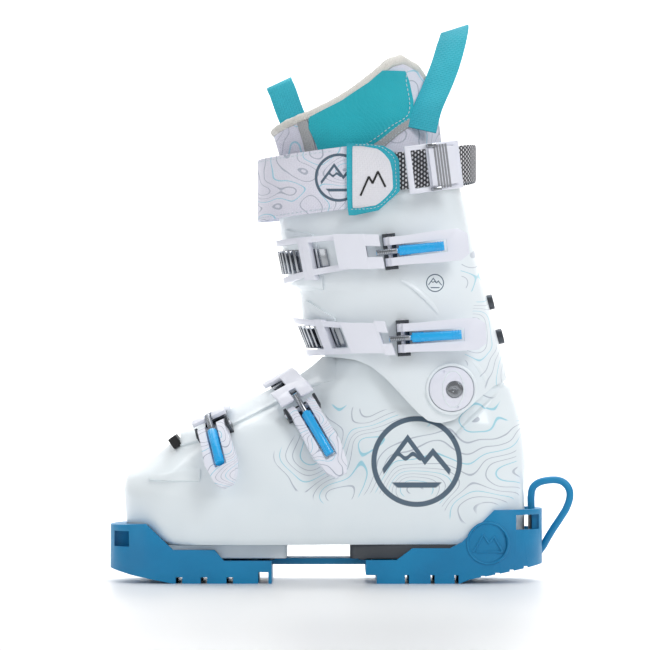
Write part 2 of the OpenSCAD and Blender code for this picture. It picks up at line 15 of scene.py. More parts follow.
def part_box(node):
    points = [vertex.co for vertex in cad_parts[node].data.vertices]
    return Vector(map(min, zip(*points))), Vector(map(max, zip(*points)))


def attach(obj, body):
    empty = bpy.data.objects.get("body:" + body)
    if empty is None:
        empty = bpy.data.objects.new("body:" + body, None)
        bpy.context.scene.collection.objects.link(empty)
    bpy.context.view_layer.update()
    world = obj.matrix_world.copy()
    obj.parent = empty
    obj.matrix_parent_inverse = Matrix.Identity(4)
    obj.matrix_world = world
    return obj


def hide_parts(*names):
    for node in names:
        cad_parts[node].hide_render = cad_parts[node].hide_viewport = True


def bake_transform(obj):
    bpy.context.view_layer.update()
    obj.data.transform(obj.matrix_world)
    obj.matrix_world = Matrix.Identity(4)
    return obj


LOG = logging.getLogger("ski_boot")
MM = 0.001  # a millimetre in the frame's metres
TURN = 2 * math.pi  # a whole turn in radians
QUARTER_X = (math.pi / 2, 0, 0)  # a quarter turn about X
QUARTER_Y = (0, math.pi / 2, 0)  # a quarter turn about Y
WALL = 4.0  # wall of the plastic in millimetres
Point = Sequence[float]
Rings = np.ndarray
Place = Callable[[float, float, float], Point]


class Body(str, Enum):
    """Bodies of the frame that pieces ride on."""

    BOOT = "boot"
    CUFF = "cuff_group"
    CAM = "strap_cam"


# ---------------------------------------------------------------- shapes of the boot


def look(x: float, table: Sequence[Sequence[float]]) -> float:
    """Reads a table of pairs at x by straight lines.

    Args:
        x: Where to read.
        table: Pairs of position and value, rising in position.

    Returns:
        The value at x.
    """
    t = np.asarray(table, float)
    return float(np.interp(x, t[:, 0], t[:, 1]))


def spow(v: float, e: float) -> float:
    """Raises v to the power e and keeps its sign."""
    return math.copysign(abs(v) ** e, v)


@dataclass
class ShellForm:
    """Outer form of the lower shell, in millimetres."""

    front: list = field(default_factory=lambda: [
        [27, -198], [41, -204.9], [65, -207], [74, -204.2], [81, -193.2], [87.4, -184.2], [95.7, -174.6],
        [102.6, -168.4], [107.4, -155.9], [119.8, -132.5], [133, -104.9], [144.7, -82.1], [152.3, -72.5],
        [157.1, -67.3], [165, -61]])
    rear: list = field(default_factory=lambda: [
        [27, 74], [47, 74.5], [66, 74], [80, 75.6], [99.8, 73.8], [117, 70.4], [130.9, 66.2], [136, 64.6],
        [140.5, 57], [165, 46]])
    plan: list = field(default_factory=lambda: [
        [-207, 40], [-185, 47], [-160, 52], [-125, 54], [-95, 52], [-60, 46], [-20, 42], [20, 41], [76, 41]])
    level: list = field(default_factory=lambda: [[27, 0.86], [40, 0.93], [60, 1], [110, 1], [122, 0.93], [165, 0.95]])
    centre: list = field(default_factory=lambda: [[-207, 6], [-160, 2], [-120, -1], [-60, 0], [80, 0]])

    def ridge(self, x: float) -> float:
        """Height of the instep ridge at x."""
        table = [[p[1], p[0]] for p in self.front if 60 < p[0] < 160] + [[-61, 176], [-50, 230], [-30, 400], [80, 900]]
        return look(x, table)

    def half(self, x: float, z: float, d: float = 0.0) -> float:
        """Half width at x and height z, d inside the outer face.

        Args:
            x: Place along the boot.
            z: Height.
            d: Distance inside the outer face.

        Returns:
            The half width.
        """
        top, f, r = self.ridge(x) - d, self.front_x(z, d), look(z, self.rear) - d
        k = (z - 45) / max(top - 45, 1)
        dome = 1.0 if k <= 0 else max(0.0, 1 - k**2.9) ** 0.5
        u, v = min(1.0, max(0.0, (x - f) / 48)), min(1.0, max(0.0, (r - x) / 40))
        wide = look(x, self.plan) * look(z, self.level) - d
        return max(0.3, wide * dome * (1 - (1 - u) ** 2.5) ** 0.45 * (1 - (1 - v) ** 2.3) ** 0.5)

    def front_x(self, z: float, d: float = 0.0) -> float:
        """Front-most x at height z, d inside the outer face."""
        return max(look(z, self.front) + d, look(z + d, self.front) if z > 65 else -999.0)

    def ring(self, z: float, n: int) -> np.ndarray:
        """One closed ring at height z, of 2n points, front first and then along the outer side.

        Args:
            z: Height.
            n: Half the number of points.

        Returns:
            The points, in order.
        """
        f, r, out = self.front_x(z), look(z, self.rear), []
        for k in range(2 * n):
            x = f + (r - f) * (1 - math.cos(math.pi * k / n)) / 2
            y = 0.0 if k in (0, n) else self.half(x, z)
            out.append((x, look(x, self.centre) + (-y if k <= n else y), z))
        return np.array(out)

    def surface(self, x: float, z: float, side: float = -1.0, off: float = 0.0) -> tuple:
        """A point on the side of the shell, off outside it; side -1 is the outer side.

        Args:
            x: Place along the boot.
            z: Height.
            side: -1 for the outer side, 1 for the inner side.
            off: Distance outside the face.

        Returns:
            The point.
        """
        h, e = self.half(x, z), 0.8
        hx = (self.half(x + e, z) - self.half(x - e, z)) / (2 * e)
        hz = (self.half(x, z + e) - self.half(x, z - e)) / (2 * e)
        n = np.array([-hx, side, -hz])
        n /= np.linalg.norm(n)
        return tuple(np.array([x, look(x, self.centre) + side * h, z]) + n * off)


@dataclass
class CuffForm:
    """Outer form of the cuff, in millimetres; t is 0 in front and 0.25 at the outer side."""

    front: list = field(default_factory=lambda: [
        [105, -58], [130, -64], [157, -71], [184, -81.5], [203, -83.5], [207, -90.5], [236, -96], [250, -97.5],
        [300, -104]])
    rear: list = field(default_factory=lambda: [
        [105, 73], [143, 62.8], [175.7, 53.8], [217, 42.8], [255, 34.5], [276, 29], [300, 24]])
    half: list = field(default_factory=lambda: [[105, 49], [135, 50.5], [165, 51.5], [205, 54], [250, 57], [300, 59]])
    low: list = field(default_factory=lambda: [
        [-80, 162], [-70, 157.5], [-55.2, 156.4], [-44.9, 155], [-34.5, 150.9], [-24.2, 142.6], [-13.8, 131.6],
        [-3.5, 120.5], [3.5, 113.6], [13.8, 111.2], [24.2, 113.6], [34.5, 121.9], [41.4, 128.1], [51.8, 136.4],
        [66, 142.6]])
    square_x: float = 0.84
    square_y: float = 0.8

    def point(self, t: float, z: float, d: float = 0.0) -> np.ndarray:
        """A point of the outline at height z, d outside the outer face.

        Args:
            t: Share of the way round.
            z: Height.
            d: Distance outside the outer face.

        Returns:
            The point.
        """
        f, r = look(z, self.front) - d, look(z, self.rear) + d
        c, s = math.cos(TURN * t), math.sin(TURN * t)
        x = (f + r) / 2 - (r - f) / 2 * spow(c, self.square_x)
        return np.array([x, -(look(z, self.half) + d) * spow(s, self.square_y), z])

    def low_z(self, t: float) -> float:
        """Height of the lower edge at t.

        Args:
            t: Share of the way round.

        Returns:
            The height.
        """
        z = 150.0
        for _ in range(4):
            z = look(self.point(t, z)[0], self.low)
        return z + 10 * max(0.0, 1 - min(t % 1, 1 - t % 1) / 0.07)

    def top_z(self, t: float) -> float:
        """Height of the upper edge at t."""
        return 273 - 11 * math.cos(TURN * t)

    def t_of(self, x: float, z: float) -> float:
        """t on the outer side at which the outline at height z reaches x.

        Args:
            x: Place along the boot.
            z: Height.

        Returns:
            Share of the way round, 0 to 0.5.
        """
        f, r = look(z, self.front), look(z, self.rear)
        c = max(-1.0, min(1.0, ((f + r) / 2 - x) / ((r - f) / 2)))
        return math.acos(max(-1.0, min(1.0, spow(c, 1 / self.square_x)))) / (2 * math.pi)


@dataclass
class LinerForm:
    """Outer form of the liner's leg part, in millimetres; t as for the cuff."""

    front: list = field(default_factory=lambda: [
        [140, -57], [165, -58], [172, -64], [184, -72], [236, -85], [296.5, -97.5], [313, -102.5], [340, -106]])
    rear: list = field(default_factory=lambda: [
        [140, 43], [160, 42], [172, 43], [217, 35], [276, 22], [306.8, 16.6], [332, 13.8], [362, 9]])
    half: list = field(default_factory=lambda: [
        [140, 31], [169, 31.2], [179, 42.5], [184, 45], [250, 50], [300, 50], [365, 47]])
    rim: list = field(default_factory=lambda: [
        [-103, 313], [-93, 318], [-73.8, 325], [-55, 334], [-35, 347.5], [-19, 360], [-11, 362.4], [0, 357], [9, 345],
        [14, 336]])
    square: float = 0.86

    def point(self, t: float, z: float, d: float = 0.0) -> np.ndarray:
        """A point of the outline at height z, d outside the outer face.

        Args:
            t: Share of the way round.
            z: Height.
            d: Distance outside the outer face.

        Returns:
            The point.
        """
        f, r, h = look(z, self.front) - d, look(z, self.rear) + d, look(z, self.half) + d
        c, s = math.cos(TURN * t), math.sin(TURN * t)
        return np.array([(f + r) / 2 - (r - f) / 2 * spow(c, self.square), -h * spow(s, self.square), z])

    def rim_z(self, t: float) -> float:
        """Height of the collar at t.

        Args:
            t: Share of the way round.

        Returns:
            The height.
        """
        z = 330.0
        for _ in range(4):
            z = look(self.point(t, z)[0], self.rim)
        return z

    def side(self, x: float, z: float, side: float = -1.0, off: float = 0.0) -> tuple:
        """A point on the side at x and height z, off outside it.

        Args:
            x: Place along the boot.
            z: Height.
            side: -1 for the outer side, 1 for the inner side.
            off: Distance outside the face.

        Returns:
            The point.
        """
        f, r, h = look(z, self.front), look(z, self.rear), look(z, self.half)
        c = max(-1.0, min(1.0, ((f + r) / 2 - x) / ((r - f) / 2)))
        s = max(0.0, 1 - abs(c) ** (2 / self.square)) ** 0.43
        return x, side * (h * s + off), z


STRAP_MID, STRAP_LONG, STRAP_WIDE = -36, 74.5, 61  # middle, half length and half width of the strap's oval


def strap_point(t: float, h: float, d: float) -> np.ndarray:
    """A point of the power strap: h above its centre line and d outside its inner face.

    Args:
        t: Share of the way round.
        h: Height over the centre line.
        d: Distance outside the inner face.

    Returns:
        The point.
    """
    c, s = math.cos(TURN * t), math.sin(TURN * t)
    x = STRAP_MID - (STRAP_LONG + d) * spow(c, 0.84)
    return np.array([x, -(STRAP_WIDE + d) * spow(s, 0.7), 273 + (x + 111) * 0.125 + h])


# ---------------------------------------------------------------- mesh tools


def deselect() -> None:
    """Leaves object mode with nothing selected."""
    if bpy.context.object and bpy.context.object.mode != "OBJECT":
        bpy.ops.object.mode_set(mode="OBJECT")
    bpy.ops.object.select_all(action="DESELECT")


def take(obj: bpy.types.Object) -> None:
    """Makes obj the only selected and the active object.

    Args:
        obj: The piece to work on.
    """
    deselect()
    obj.select_set(True)
    bpy.context.view_layer.objects.active = obj


def edit(obj: bpy.types.Object, *steps: Callable[[], object]) -> None:
    """Runs edit-mode steps on all of obj.

    Args:
        obj: The piece.
        steps: Functions that call edit-mode operators.
    """
    take(obj)
    bpy.ops.object.mode_set(mode="EDIT")
    bpy.ops.mesh.select_all(action="SELECT")
    for step in steps:
        step()
    bpy.ops.object.mode_set(mode="OBJECT")


def outward() -> None:
    """Turns the selected faces outwards."""
    bpy.ops.mesh.normals_make_consistent(inside=False)


def weld(distance: float = 1e-6) -> None:
    """Merges the selected vertices that coincide."""
    bpy.ops.mesh.remove_doubles(threshold=distance)


def modify(obj: bpy.types.Object, kind: str, **values: object) -> bpy.types.Object:
    """Adds a modifier, sets its values and applies it.

    Args:
        obj: The piece.
        kind: The modifier's type.
        values: The modifier's settings.

    Returns:
        The same piece.
    """
    take(obj)
    m = obj.modifiers.new(kind.title(), kind)
    for key, value in values.items():
        setattr(m, key, value)
    bpy.ops.object.modifier_apply(modifier=m.name)
    return obj


def soften(obj: bpy.types.Object, width: float = 0.4, segments: int = 2, angle: float = 35.0) -> bpy.types.Object:
    """Bevels the sharp edges by width millimetres and shades the rest smooth.

    Args:
        obj: The piece.
        width: Bevel width.
        segments: Steps of the bevel.
        angle: Edges sharper than this many degrees are bevelled.

    Returns:
        The same piece.
    """
    modify(obj, "BEVEL", width=width * MM, segments=segments, limit_method="ANGLE", angle_limit=math.radians(angle),
           harden_normals=False)
    return smooth(obj)


def smooth(obj: bpy.types.Object, angle: float = 40.0) -> bpy.types.Object:
    """Shades smooth up to an angle.

    Args:
        obj: The piece.
        angle: Edges sharper than this many degrees stay sharp.

    Returns:
        The same piece.
    """
    take(obj)
    bpy.ops.object.shade_smooth_by_angle(angle=math.radians(angle))
    return obj


def grid(name: str, rings: Rings, closed: bool = False, caps: bool = False) -> bpy.types.Object:
    """Lays a grid primitive over rings of points in millimetres.

    Args:
        name: The piece's name.
        rings: Array of m rings by n points by 3.
        closed: Whether each ring joins up with itself.
        caps: Whether the first and last rings are filled.

    Returns:
        The new piece, at the origin.
    """
    rings = np.asarray(rings, float)
    if closed:
        rings = np.concatenate([rings, rings[:, :1]], axis=1)
    m, n, _ = rings.shape
    deselect()
    bpy.ops.mesh.primitive_grid_add(x_subdivisions=n - 1, y_subdivisions=m - 1, size=1)
    obj = bpy.context.object
    obj.name = obj.data.name = name
    obj.data.vertices.foreach_set("co", (rings.reshape(-1, 3) * MM).ravel())
    lay = obj.data.uv_layers.active or obj.data.uv_layers.new(name="UVMap")
    lay.name = "run"
    loops = np.zeros(len(obj.data.loops), int)
    obj.data.loops.foreach_get("vertex_index", loops)
    along, across = run_lengths(rings)
    lay.data.foreach_set("uv", np.stack([along.ravel()[loops], across.ravel()[loops]], 1).ravel())
    obj.data.update()
    if closed or caps:
        edit(obj, lambda: weld(1e-7))
    if caps:
        take(obj)
        bpy.ops.object.mode_set(mode="EDIT")
        bpy.ops.mesh.select_mode(type="EDGE")
        bpy.ops.mesh.select_all(action="DESELECT")
        bpy.ops.mesh.select_non_manifold(extend=False)
        bpy.ops.mesh.edge_face_add()
        bpy.ops.mesh.select_mode(type="VERT")
        bpy.ops.object.mode_set(mode="OBJECT")
        if closed and m > 1:
            split_caps(obj)
    edit(obj, outward)
    return obj


def split_caps(obj: bpy.types.Object) -> None:
    """Fills every open boundary loop of obj with its own face.

    Args:
        obj: The piece.
    """
    bm = bmesh.new()
    bm.from_mesh(obj.data)
    big = [f for f in bm.faces if len(f.verts) > 6]
    bmesh.ops.delete(bm, geom=big, context="FACES_ONLY")
    bmesh.ops.holes_fill(bm, edges=[e for e in bm.edges if e.is_boundary], sides=0)
    bm.to_mesh(obj.data)
    bm.free()


def run_lengths(rings: Rings) -> tuple:
    """Lengths in metres along and across a grid of rings, for its UV map.

    Args:
        rings: Array of m rings by n points by 3.

    Returns:
        Two m by n arrays, along and across.
    """
    m, n, _ = rings.shape
    a = np.linalg.norm(np.diff(rings, axis=1), axis=2).mean(0, keepdims=True).repeat(m, 0)
    b = np.linalg.norm(np.diff(rings, axis=0), axis=2).mean(1, keepdims=True).repeat(n, 1)
    along = np.concatenate([np.zeros((m, 1)), np.cumsum(a, 1)], 1)
    across = np.concatenate([np.zeros((1, n)), np.cumsum(b, 0)], 0)
    return along * MM, across * MM


def curve_through(points: Sequence[Point], n: int) -> np.ndarray:
    """Smooth curve of n points through the given points (Catmull-Rom).

    Args:
        points: Points that it passes.
        n: Points of the curve.

    Returns:
        The curve, n by the size of a point.
    """
    p = np.asarray(points, float)
    p = np.concatenate([[2 * p[0] - p[1]], p, [2 * p[-1] - p[-2]]])
    out, last = [], len(p) - 3
    for u in np.linspace(0, last, n):
        i = min(int(u), last - 1)
        t = u - i
        a, b, c, d = p[i:i + 4]
        out.append(0.5 * (2 * b + (c - a) * t + (2 * a - 5 * b + 4 * c - d) * t * t + (3 * b - a - 3 * c + d) * t**3))
    return np.array(out)


def sweep(name: str, path: np.ndarray, section: Callable[[float], Sequence[Point]], side: Point) -> bpy.types.Object:
    """Sweeps a closed section along a path.

    Args:
        name: The piece's name.
        path: Points in millimetres.
        section: Section points, across and out, at a share 0 to 1 of the way along.
        side: Direction that the section's first axis keeps to.

    Returns:
        The closed piece.
    """
    n, rings, s = len(path), [], Vector(side).normalized()
    for i in range(n):
        d = Vector(path[min(n - 1, i + 1)] - path[max(0, i - 1)]).normalized()
        a = (s - d * s.dot(d)).normalized()
        b = d.cross(a)
        rings.append([Vector(path[i]) + a * u + b * v for u, v in section(i / (n - 1))])
    return grid(name, np.array(rings), closed=True, caps=True)


def oval(wide: float, high: float, n: int) -> list:
    """Points of an oval section from its half width and half height."""
    return [(wide * math.cos(a), high * math.sin(a)) for a in np.linspace(0, TURN, n, endpoint=False)]


def join(name: str, objs: Sequence[bpy.types.Object]) -> bpy.types.Object:
    """Joins pieces into one under a new name.

    Args:
        name: The joined piece's name.
        objs: The pieces to join.

    Returns:
        The joined piece.
    """
    deselect()
    for o in objs:
        o.select_set(True)
    bpy.context.view_layer.objects.active = objs[0]
    bpy.ops.object.join()
    out = bpy.context.object
    out.name = out.data.name = name
    return out


def primitive(kind: str, at: Point, rotation: Point = (0, 0, 0), **sizes: object) -> bpy.types.Object:
    """Adds a primitive and keeps its place and turn in its mesh.

    Args:
        kind: The operator's name after primitive_.
        at: Its centre in millimetres.
        rotation: Its turn in radians.
        sizes: The operator's own sizes, in metres.

    Returns:
        The new piece, at the origin.
    """
    deselect()
    add = getattr(bpy.ops.mesh, f"primitive_{kind}_add")
    add(location=[v * MM for v in at], rotation=rotation, **sizes)
    bpy.ops.object.transform_apply(location=True, rotation=True, scale=True)
    return bpy.context.object


def cut(obj: bpy.types.Object, tool: bpy.types.Object) -> bpy.types.Object:
    """Cuts tool out of obj and removes the tool.

    Args:
        obj: The piece.
        tool: The shape to take away.

    Returns:
        The same piece.
    """
    modify(obj, "BOOLEAN", operation="DIFFERENCE", object=tool, solver="EXACT")
    bpy.data.objects.remove(tool)
    return obj


def block(size: Point, at: Point, turn: float = 0.0) -> bpy.types.Object:
    """A block used as a cutting tool: its size and centre in millimetres, turned about Y by degrees."""
    return primitive("cube", at, (0, math.radians(turn), 0), size=1, scale=[v * MM for v in size])


def refined(node: str, name: str, width: float, segments: int = 3) -> bpy.types.Object:
    """A rounded copy of a CAD node's mesh, which stands for the node.

    Args:
        node: The CAD node.
        name: The new piece's name.
        width: Edge radius in millimetres.
        segments: Steps of the rounding.

    Returns:
        The new piece.
    """
    deselect()
    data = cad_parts[node].data.copy()
    obj = bpy.data.objects.new(name, data)
    bpy.context.scene.collection.objects.link(obj)
    data.materials.clear()
    edit(obj, lambda: weld(1e-5), lambda: bpy.ops.mesh.dissolve_limited(angle_limit=math.radians(1.0)), outward)
    return soften(obj, width, segments, 30.0)


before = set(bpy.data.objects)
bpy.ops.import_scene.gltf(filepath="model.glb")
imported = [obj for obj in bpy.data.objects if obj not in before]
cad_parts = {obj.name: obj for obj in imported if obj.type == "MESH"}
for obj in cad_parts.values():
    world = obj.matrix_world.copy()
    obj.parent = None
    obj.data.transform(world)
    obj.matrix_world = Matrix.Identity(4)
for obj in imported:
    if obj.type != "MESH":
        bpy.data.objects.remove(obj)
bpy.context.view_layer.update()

# ---------------------------------------------------------------- finishes

Socket = bpy.types.NodeSocket


def srgb(r: float, g: float, b: float) -> tuple:
    """Turns a 0-255 screen colour into a linear one."""
    return tuple((v / 255 / 12.92 if v <= 10 else ((v / 255 + 0.055) / 1.055) ** 2.4) for v in (r, g, b)) + (1.0,)


class Net:
    """Short forms for building a node tree."""

    def __init__(self, tree: bpy.types.NodeTree) -> None:
        """Keeps the tree that nodes are added to."""
        self.tree = tree

    def put(self, target: Socket, value: object) -> None:
        """Links a socket or sets a constant on target.

        Args:
            target: The input socket.
            value: A socket, a constant, or None to leave it.
        """
        if isinstance(value, bpy.types.NodeSocket):
            self.tree.links.new(value, target)
        elif value is not None:
            target.default_value = value

    def node(self, kind: str, inputs: Optional[dict] = None, **values: object) -> bpy.types.Node:
        """Adds a node with settings and inputs.

        Args:
            kind: The node's type after ShaderNode.
            inputs: Values or sockets by input name.
            values: The node's settings.

        Returns:
            The node.
        """
        n = self.tree.nodes.new("ShaderNode" + kind)
        for key, value in values.items():
            setattr(n, key, value)
        for key, value in (inputs or {}).items():
            self.put(n.inputs[key], value)
        return n

    def math(self, op: str, a: object, b: object = None, c: object = None) -> Socket:
        """A math node's result.

        Args:
            op: The operation.
            a: First value.
            b: Second value.
            c: Third value.

        Returns:
            The result.
        """
        n = self.node("Math", operation=op)
        for i, v in enumerate((a, b, c)):
            self.put(n.inputs[i], v)
        return n.outputs[0]

    def add(self, a: object, b: object) -> Socket:
        """Sum."""
        return self.math("ADD", a, b)

    def sub(self, a: object, b: object) -> Socket:
        """Difference."""
        return self.math("SUBTRACT", a, b)

    def mul(self, a: object, b: object) -> Socket:
        """Product."""
        return self.math("MULTIPLY", a, b)

    def far(self, u: object, v: object) -> Socket:
        """Distance of the point u, v from the middle."""
        return self.math("SQRT", self.add(self.mul(u, u), self.mul(v, v)))

    def object_at(self) -> Socket:
        """Place on the piece, in metres."""
        return self.node("TexCoord").outputs["Object"]

    def run_at(self) -> Socket:
        """Place along and across the piece's own run, in metres."""
        return self.node("UVMap", uv_map="run").outputs[0]

    def parts(self, vector: object) -> object:
        """X, Y and Z of a vector."""
        return self.node("SeparateXYZ", {"Vector": vector}).outputs

    def near(self, value: object, at: float, width: float, soft: float) -> Socket:
        """1 where value lies within width of at, falling to 0 over soft."""
        gap = self.math("ABSOLUTE", self.sub(value, at))
        return self.step(gap, width + soft, width)

    def step(self, value: object, low: float, high: float) -> Socket:
        """0 at low and 1 at high, smooth between."""
        n = self.node("MapRange", {"Value": value, "From Min": low, "From Max": high}, interpolation_type="SMOOTHSTEP")
        return n.outputs["Result"]

    def mix(self, share: object, a: object, b: object) -> Socket:
        """A colour mix.

        Args:
            share: Share of the second colour.
            a: First colour.
            b: Second colour.

        Returns:
            The mixed colour.
        """
        n = self.node("Mix", data_type="RGBA")
        for i, v in ((0, share), (6, a), (7, b)):
            self.put(n.inputs[i], v)
        return n.outputs[2]

    def noise(self, vector: Socket, scale: float, detail: float = 3.0, rough: float = 0.5) -> Socket:
        """A noise value at vector."""
        n = self.node("TexNoise", {"Vector": vector, "Scale": scale, "Detail": detail, "Roughness": rough})
        return n.outputs["Fac"]


def group(name: str, inputs: Sequence[tuple], outputs: Sequence[tuple], build: Callable) -> bpy.types.NodeTree:
    """Makes a shared node group once.

    Args:
        name: The group's name.
        inputs: Names, socket types and defaults.
        outputs: Names and socket types.
        build: Called with a Net and the inputs, returns values for the outputs.

    Returns:
        The group's tree.
    """
    tree = bpy.data.node_groups.get(name)
    if tree:
        return tree
    tree = bpy.data.node_groups.new(name, "ShaderNodeTree")
    for key, kind, value in inputs:
        tree.interface.new_socket(key, in_out="INPUT", socket_type="NodeSocket" + kind).default_value = value
    for key, kind in outputs:
        tree.interface.new_socket(key, in_out="OUTPUT", socket_type="NodeSocket" + kind)
    net = Net(tree)
    start, end = tree.nodes.new("NodeGroupInput"), tree.nodes.new("NodeGroupOutput")
    for key, value in build(net, start.outputs).items():
        net.put(end.inputs[key], value)
    return tree


def surface_group() -> bpy.types.NodeTree:
    """Moulded surface: slow colour drift, fine grain and fingerprints in the roughness.

    Returns:
        The group's tree.
    """

    def build(net: Net, g: object) -> dict:
        """Wires the group.

        Args:
            net: The tree to add to.
            g: The group's inputs.

        Returns:
            The group's outputs by name.
        """
        at = net.object_at()
        slow, fine = net.noise(at, 22.0, 4.0), net.noise(at, 1400.0, 2.0)
        smear = net.noise(at, 90.0, 6.0, 0.7)
        color = net.mix(net.mul(net.step(slow, 0.35, 0.75), g["Drift"]), g["Color"], g["Second"])
        rough = net.add(g["Roughness"], net.mul(net.sub(smear, 0.5), 0.22))
        height = net.add(net.mul(fine, g["Grain"]), net.mul(slow, 0.12))
        return {"Color": color, "Roughness": rough, "Height": height}

    return group("Moulded surface",
                 [("Color", "Color", (0.8, 0.8, 0.8, 1)), ("Second", "Color", (0.7, 0.7, 0.7, 1)),
                  ("Drift", "Float", 0.4), ("Roughness", "Float", 0.4), ("Grain", "Float", 0.3)],
                 [("Color", "Color"), ("Roughness", "Float"), ("Height", "Float")], build)


def contour_group() -> bpy.types.NodeTree:
    """Map contour lines drawn over the side of the boot, in two alternating inks.

    Returns:
        The group's tree.
    """

    def build(net: Net, g: object) -> dict:
        """Wires the group.

        Args:
            net: The tree to add to.
            g: The group's inputs.

        Returns:
            The group's outputs by name.
        """
        at = net.node("Mapping", {"Vector": net.object_at(), "Scale": (1.0, 0.35, 1.25)}).outputs[0]
        level = net.mul(net.noise(at, g["Scale"], 1.2, 0.35), g["Levels"])
        part = net.math("FRACT", level)
        line = net.near(part, 0.5, 0.05, 0.03)
        odd = net.math("FRACT", net.mul(net.math("FLOOR", level), 0.3333))
        return {"Line": line, "Second": net.math("GREATER_THAN", odd, 0.5)}

    return group("Contour lines", [("Scale", "Float", 22.0), ("Levels", "Float", 26.0)],
                 [("Line", "Float"), ("Second", "Float")], build)


def badge_group() -> bpy.types.NodeTree:
    """A ring round a plain outline of two snowy peaks, printed on the outer side.

    Returns:
        The group's tree.
    """

    def build(net: Net, g: object) -> dict:
        """Wires the group.

        Args:
            net: The tree to add to.
            g: The group's inputs.

        Returns:
            The group's outputs by name.
        """
        at = net.parts(net.object_at())
        mid = net.parts(g["Centre"])
        u = net.math("DIVIDE", net.sub(at["X"], mid["X"]), g["Radius"])
        v = net.math("DIVIDE", net.sub(at["Z"], mid["Z"]), g["Radius"])
        far = net.far(u, v)
        ring = net.near(far, 0.95, 0.05, 0.015)
        peak_a = net.add(v, net.mul(net.math("ABSOLUTE", net.sub(u, -0.2)), 1.35))
        peak_b = net.add(v, net.mul(net.math("ABSOLUTE", net.sub(u, 0.36)), 1.2))
        crest = net.math("MAXIMUM", net.sub(0.52, peak_a), net.sub(0.22, peak_b))
        slope = net.mul(net.near(crest, 0.0, 0.075, 0.02), net.step(v, -0.5, -0.47))
        wavy = net.sub(net.add(v, net.mul(net.math("SINE", net.mul(u, 19.0)), 0.05)), 0.12)
        snow = net.mul(net.near(wavy, 0.0, 0.04, 0.02), net.step(net.sub(0.52, peak_a), 0.0, 0.05))
        base = net.mul(net.near(v, -0.52, 0.05, 0.02), net.step(far, 0.74, 0.7))
        marks = net.math("MAXIMUM", net.math("MAXIMUM", slope, snow), base)
        inside = net.math("MAXIMUM", ring, net.mul(marks, net.step(far, 0.8, 0.76)))
        outer = net.step(at["Y"], -0.003, -0.006)
        return {"Ink": net.mul(inside, outer)}

    return group("Mountain badge", [("Centre", "Vector", (0, 0, 0)), ("Radius", "Float", 0.03)],
                 [("Ink", "Float")], build)


def area_group() -> bpy.types.NodeTree:
    """A soft oval patch in side view, with a ragged edge.

    Returns:
        The group's tree.
    """

    def build(net: Net, g: object) -> dict:
        """Wires the group.

        Args:
            net: The tree to add to.
            g: The group's inputs.

        Returns:
            The group's outputs by name.
        """
        obj = net.object_at()
        at, mid, size = (net.parts(s) for s in (obj, g["Centre"], g["Size"]))
        u = net.math("DIVIDE", net.sub(at["X"], mid["X"]), size["X"])
        v = net.math("DIVIDE", net.sub(at["Z"], mid["Z"]), size["Z"])
        far = net.far(u, v)
        far = net.add(far, net.mul(net.sub(net.noise(obj, 38.0, 1.0), 0.5), 0.9))
        return {"Mask": net.step(far, 1.02, 0.94)}

    return group("Print area", [("Centre", "Vector", (0, 0, 0)), ("Size", "Vector", (0.05, 0.05, 0.05))],
                 [("Mask", "Float")], build)


def weave_group() -> bpy.types.NodeTree:
    """Woven threads along a piece's own run, over and under, with painted shade on the threads where they sink.

    Returns:
        The group's tree.
    """

    def build(net: Net, g: object) -> dict:
        """Wires the group.

        Args:
            net: The tree to add to.
            g: The group's inputs.

        Returns:
            The group's outputs by name.
        """
        at = net.parts(net.run_at())
        u, v = (net.mul(at[k], g["Threads"]) for k in ("X", "Y"))
        a = net.math("ABSOLUTE", net.math("SINE", net.mul(u, math.pi)))
        b = net.math("ABSOLUTE", net.math("SINE", net.mul(v, math.pi)))
        odd = net.math("FLOORED_MODULO", net.add(net.math("FLOOR", u), net.math("FLOOR", v)), 2.0)
        height = net.add(net.mul(odd, a), net.mul(net.sub(1.0, odd), b))
        fuzz = net.noise(net.object_at(), 2600.0, 2.0)
        height = net.add(height, net.mul(fuzz, 0.5))
        # painted shade: the sunken parts of the threads are darkened towards the Shade colour
        color = net.mix(net.mul(net.sub(1.0, height), 0.28), g["Color"], g["Shade"])
        return {"Color": color, "Height": height}

    return group("Woven cloth",
                 [("Color", "Color", (0.8, 0.8, 0.8, 1)), ("Shade", "Color", (0.4, 0.4, 0.4, 1)),
                  ("Threads", "Float", 900.0)], [("Color", "Color"), ("Height", "Float")], build)


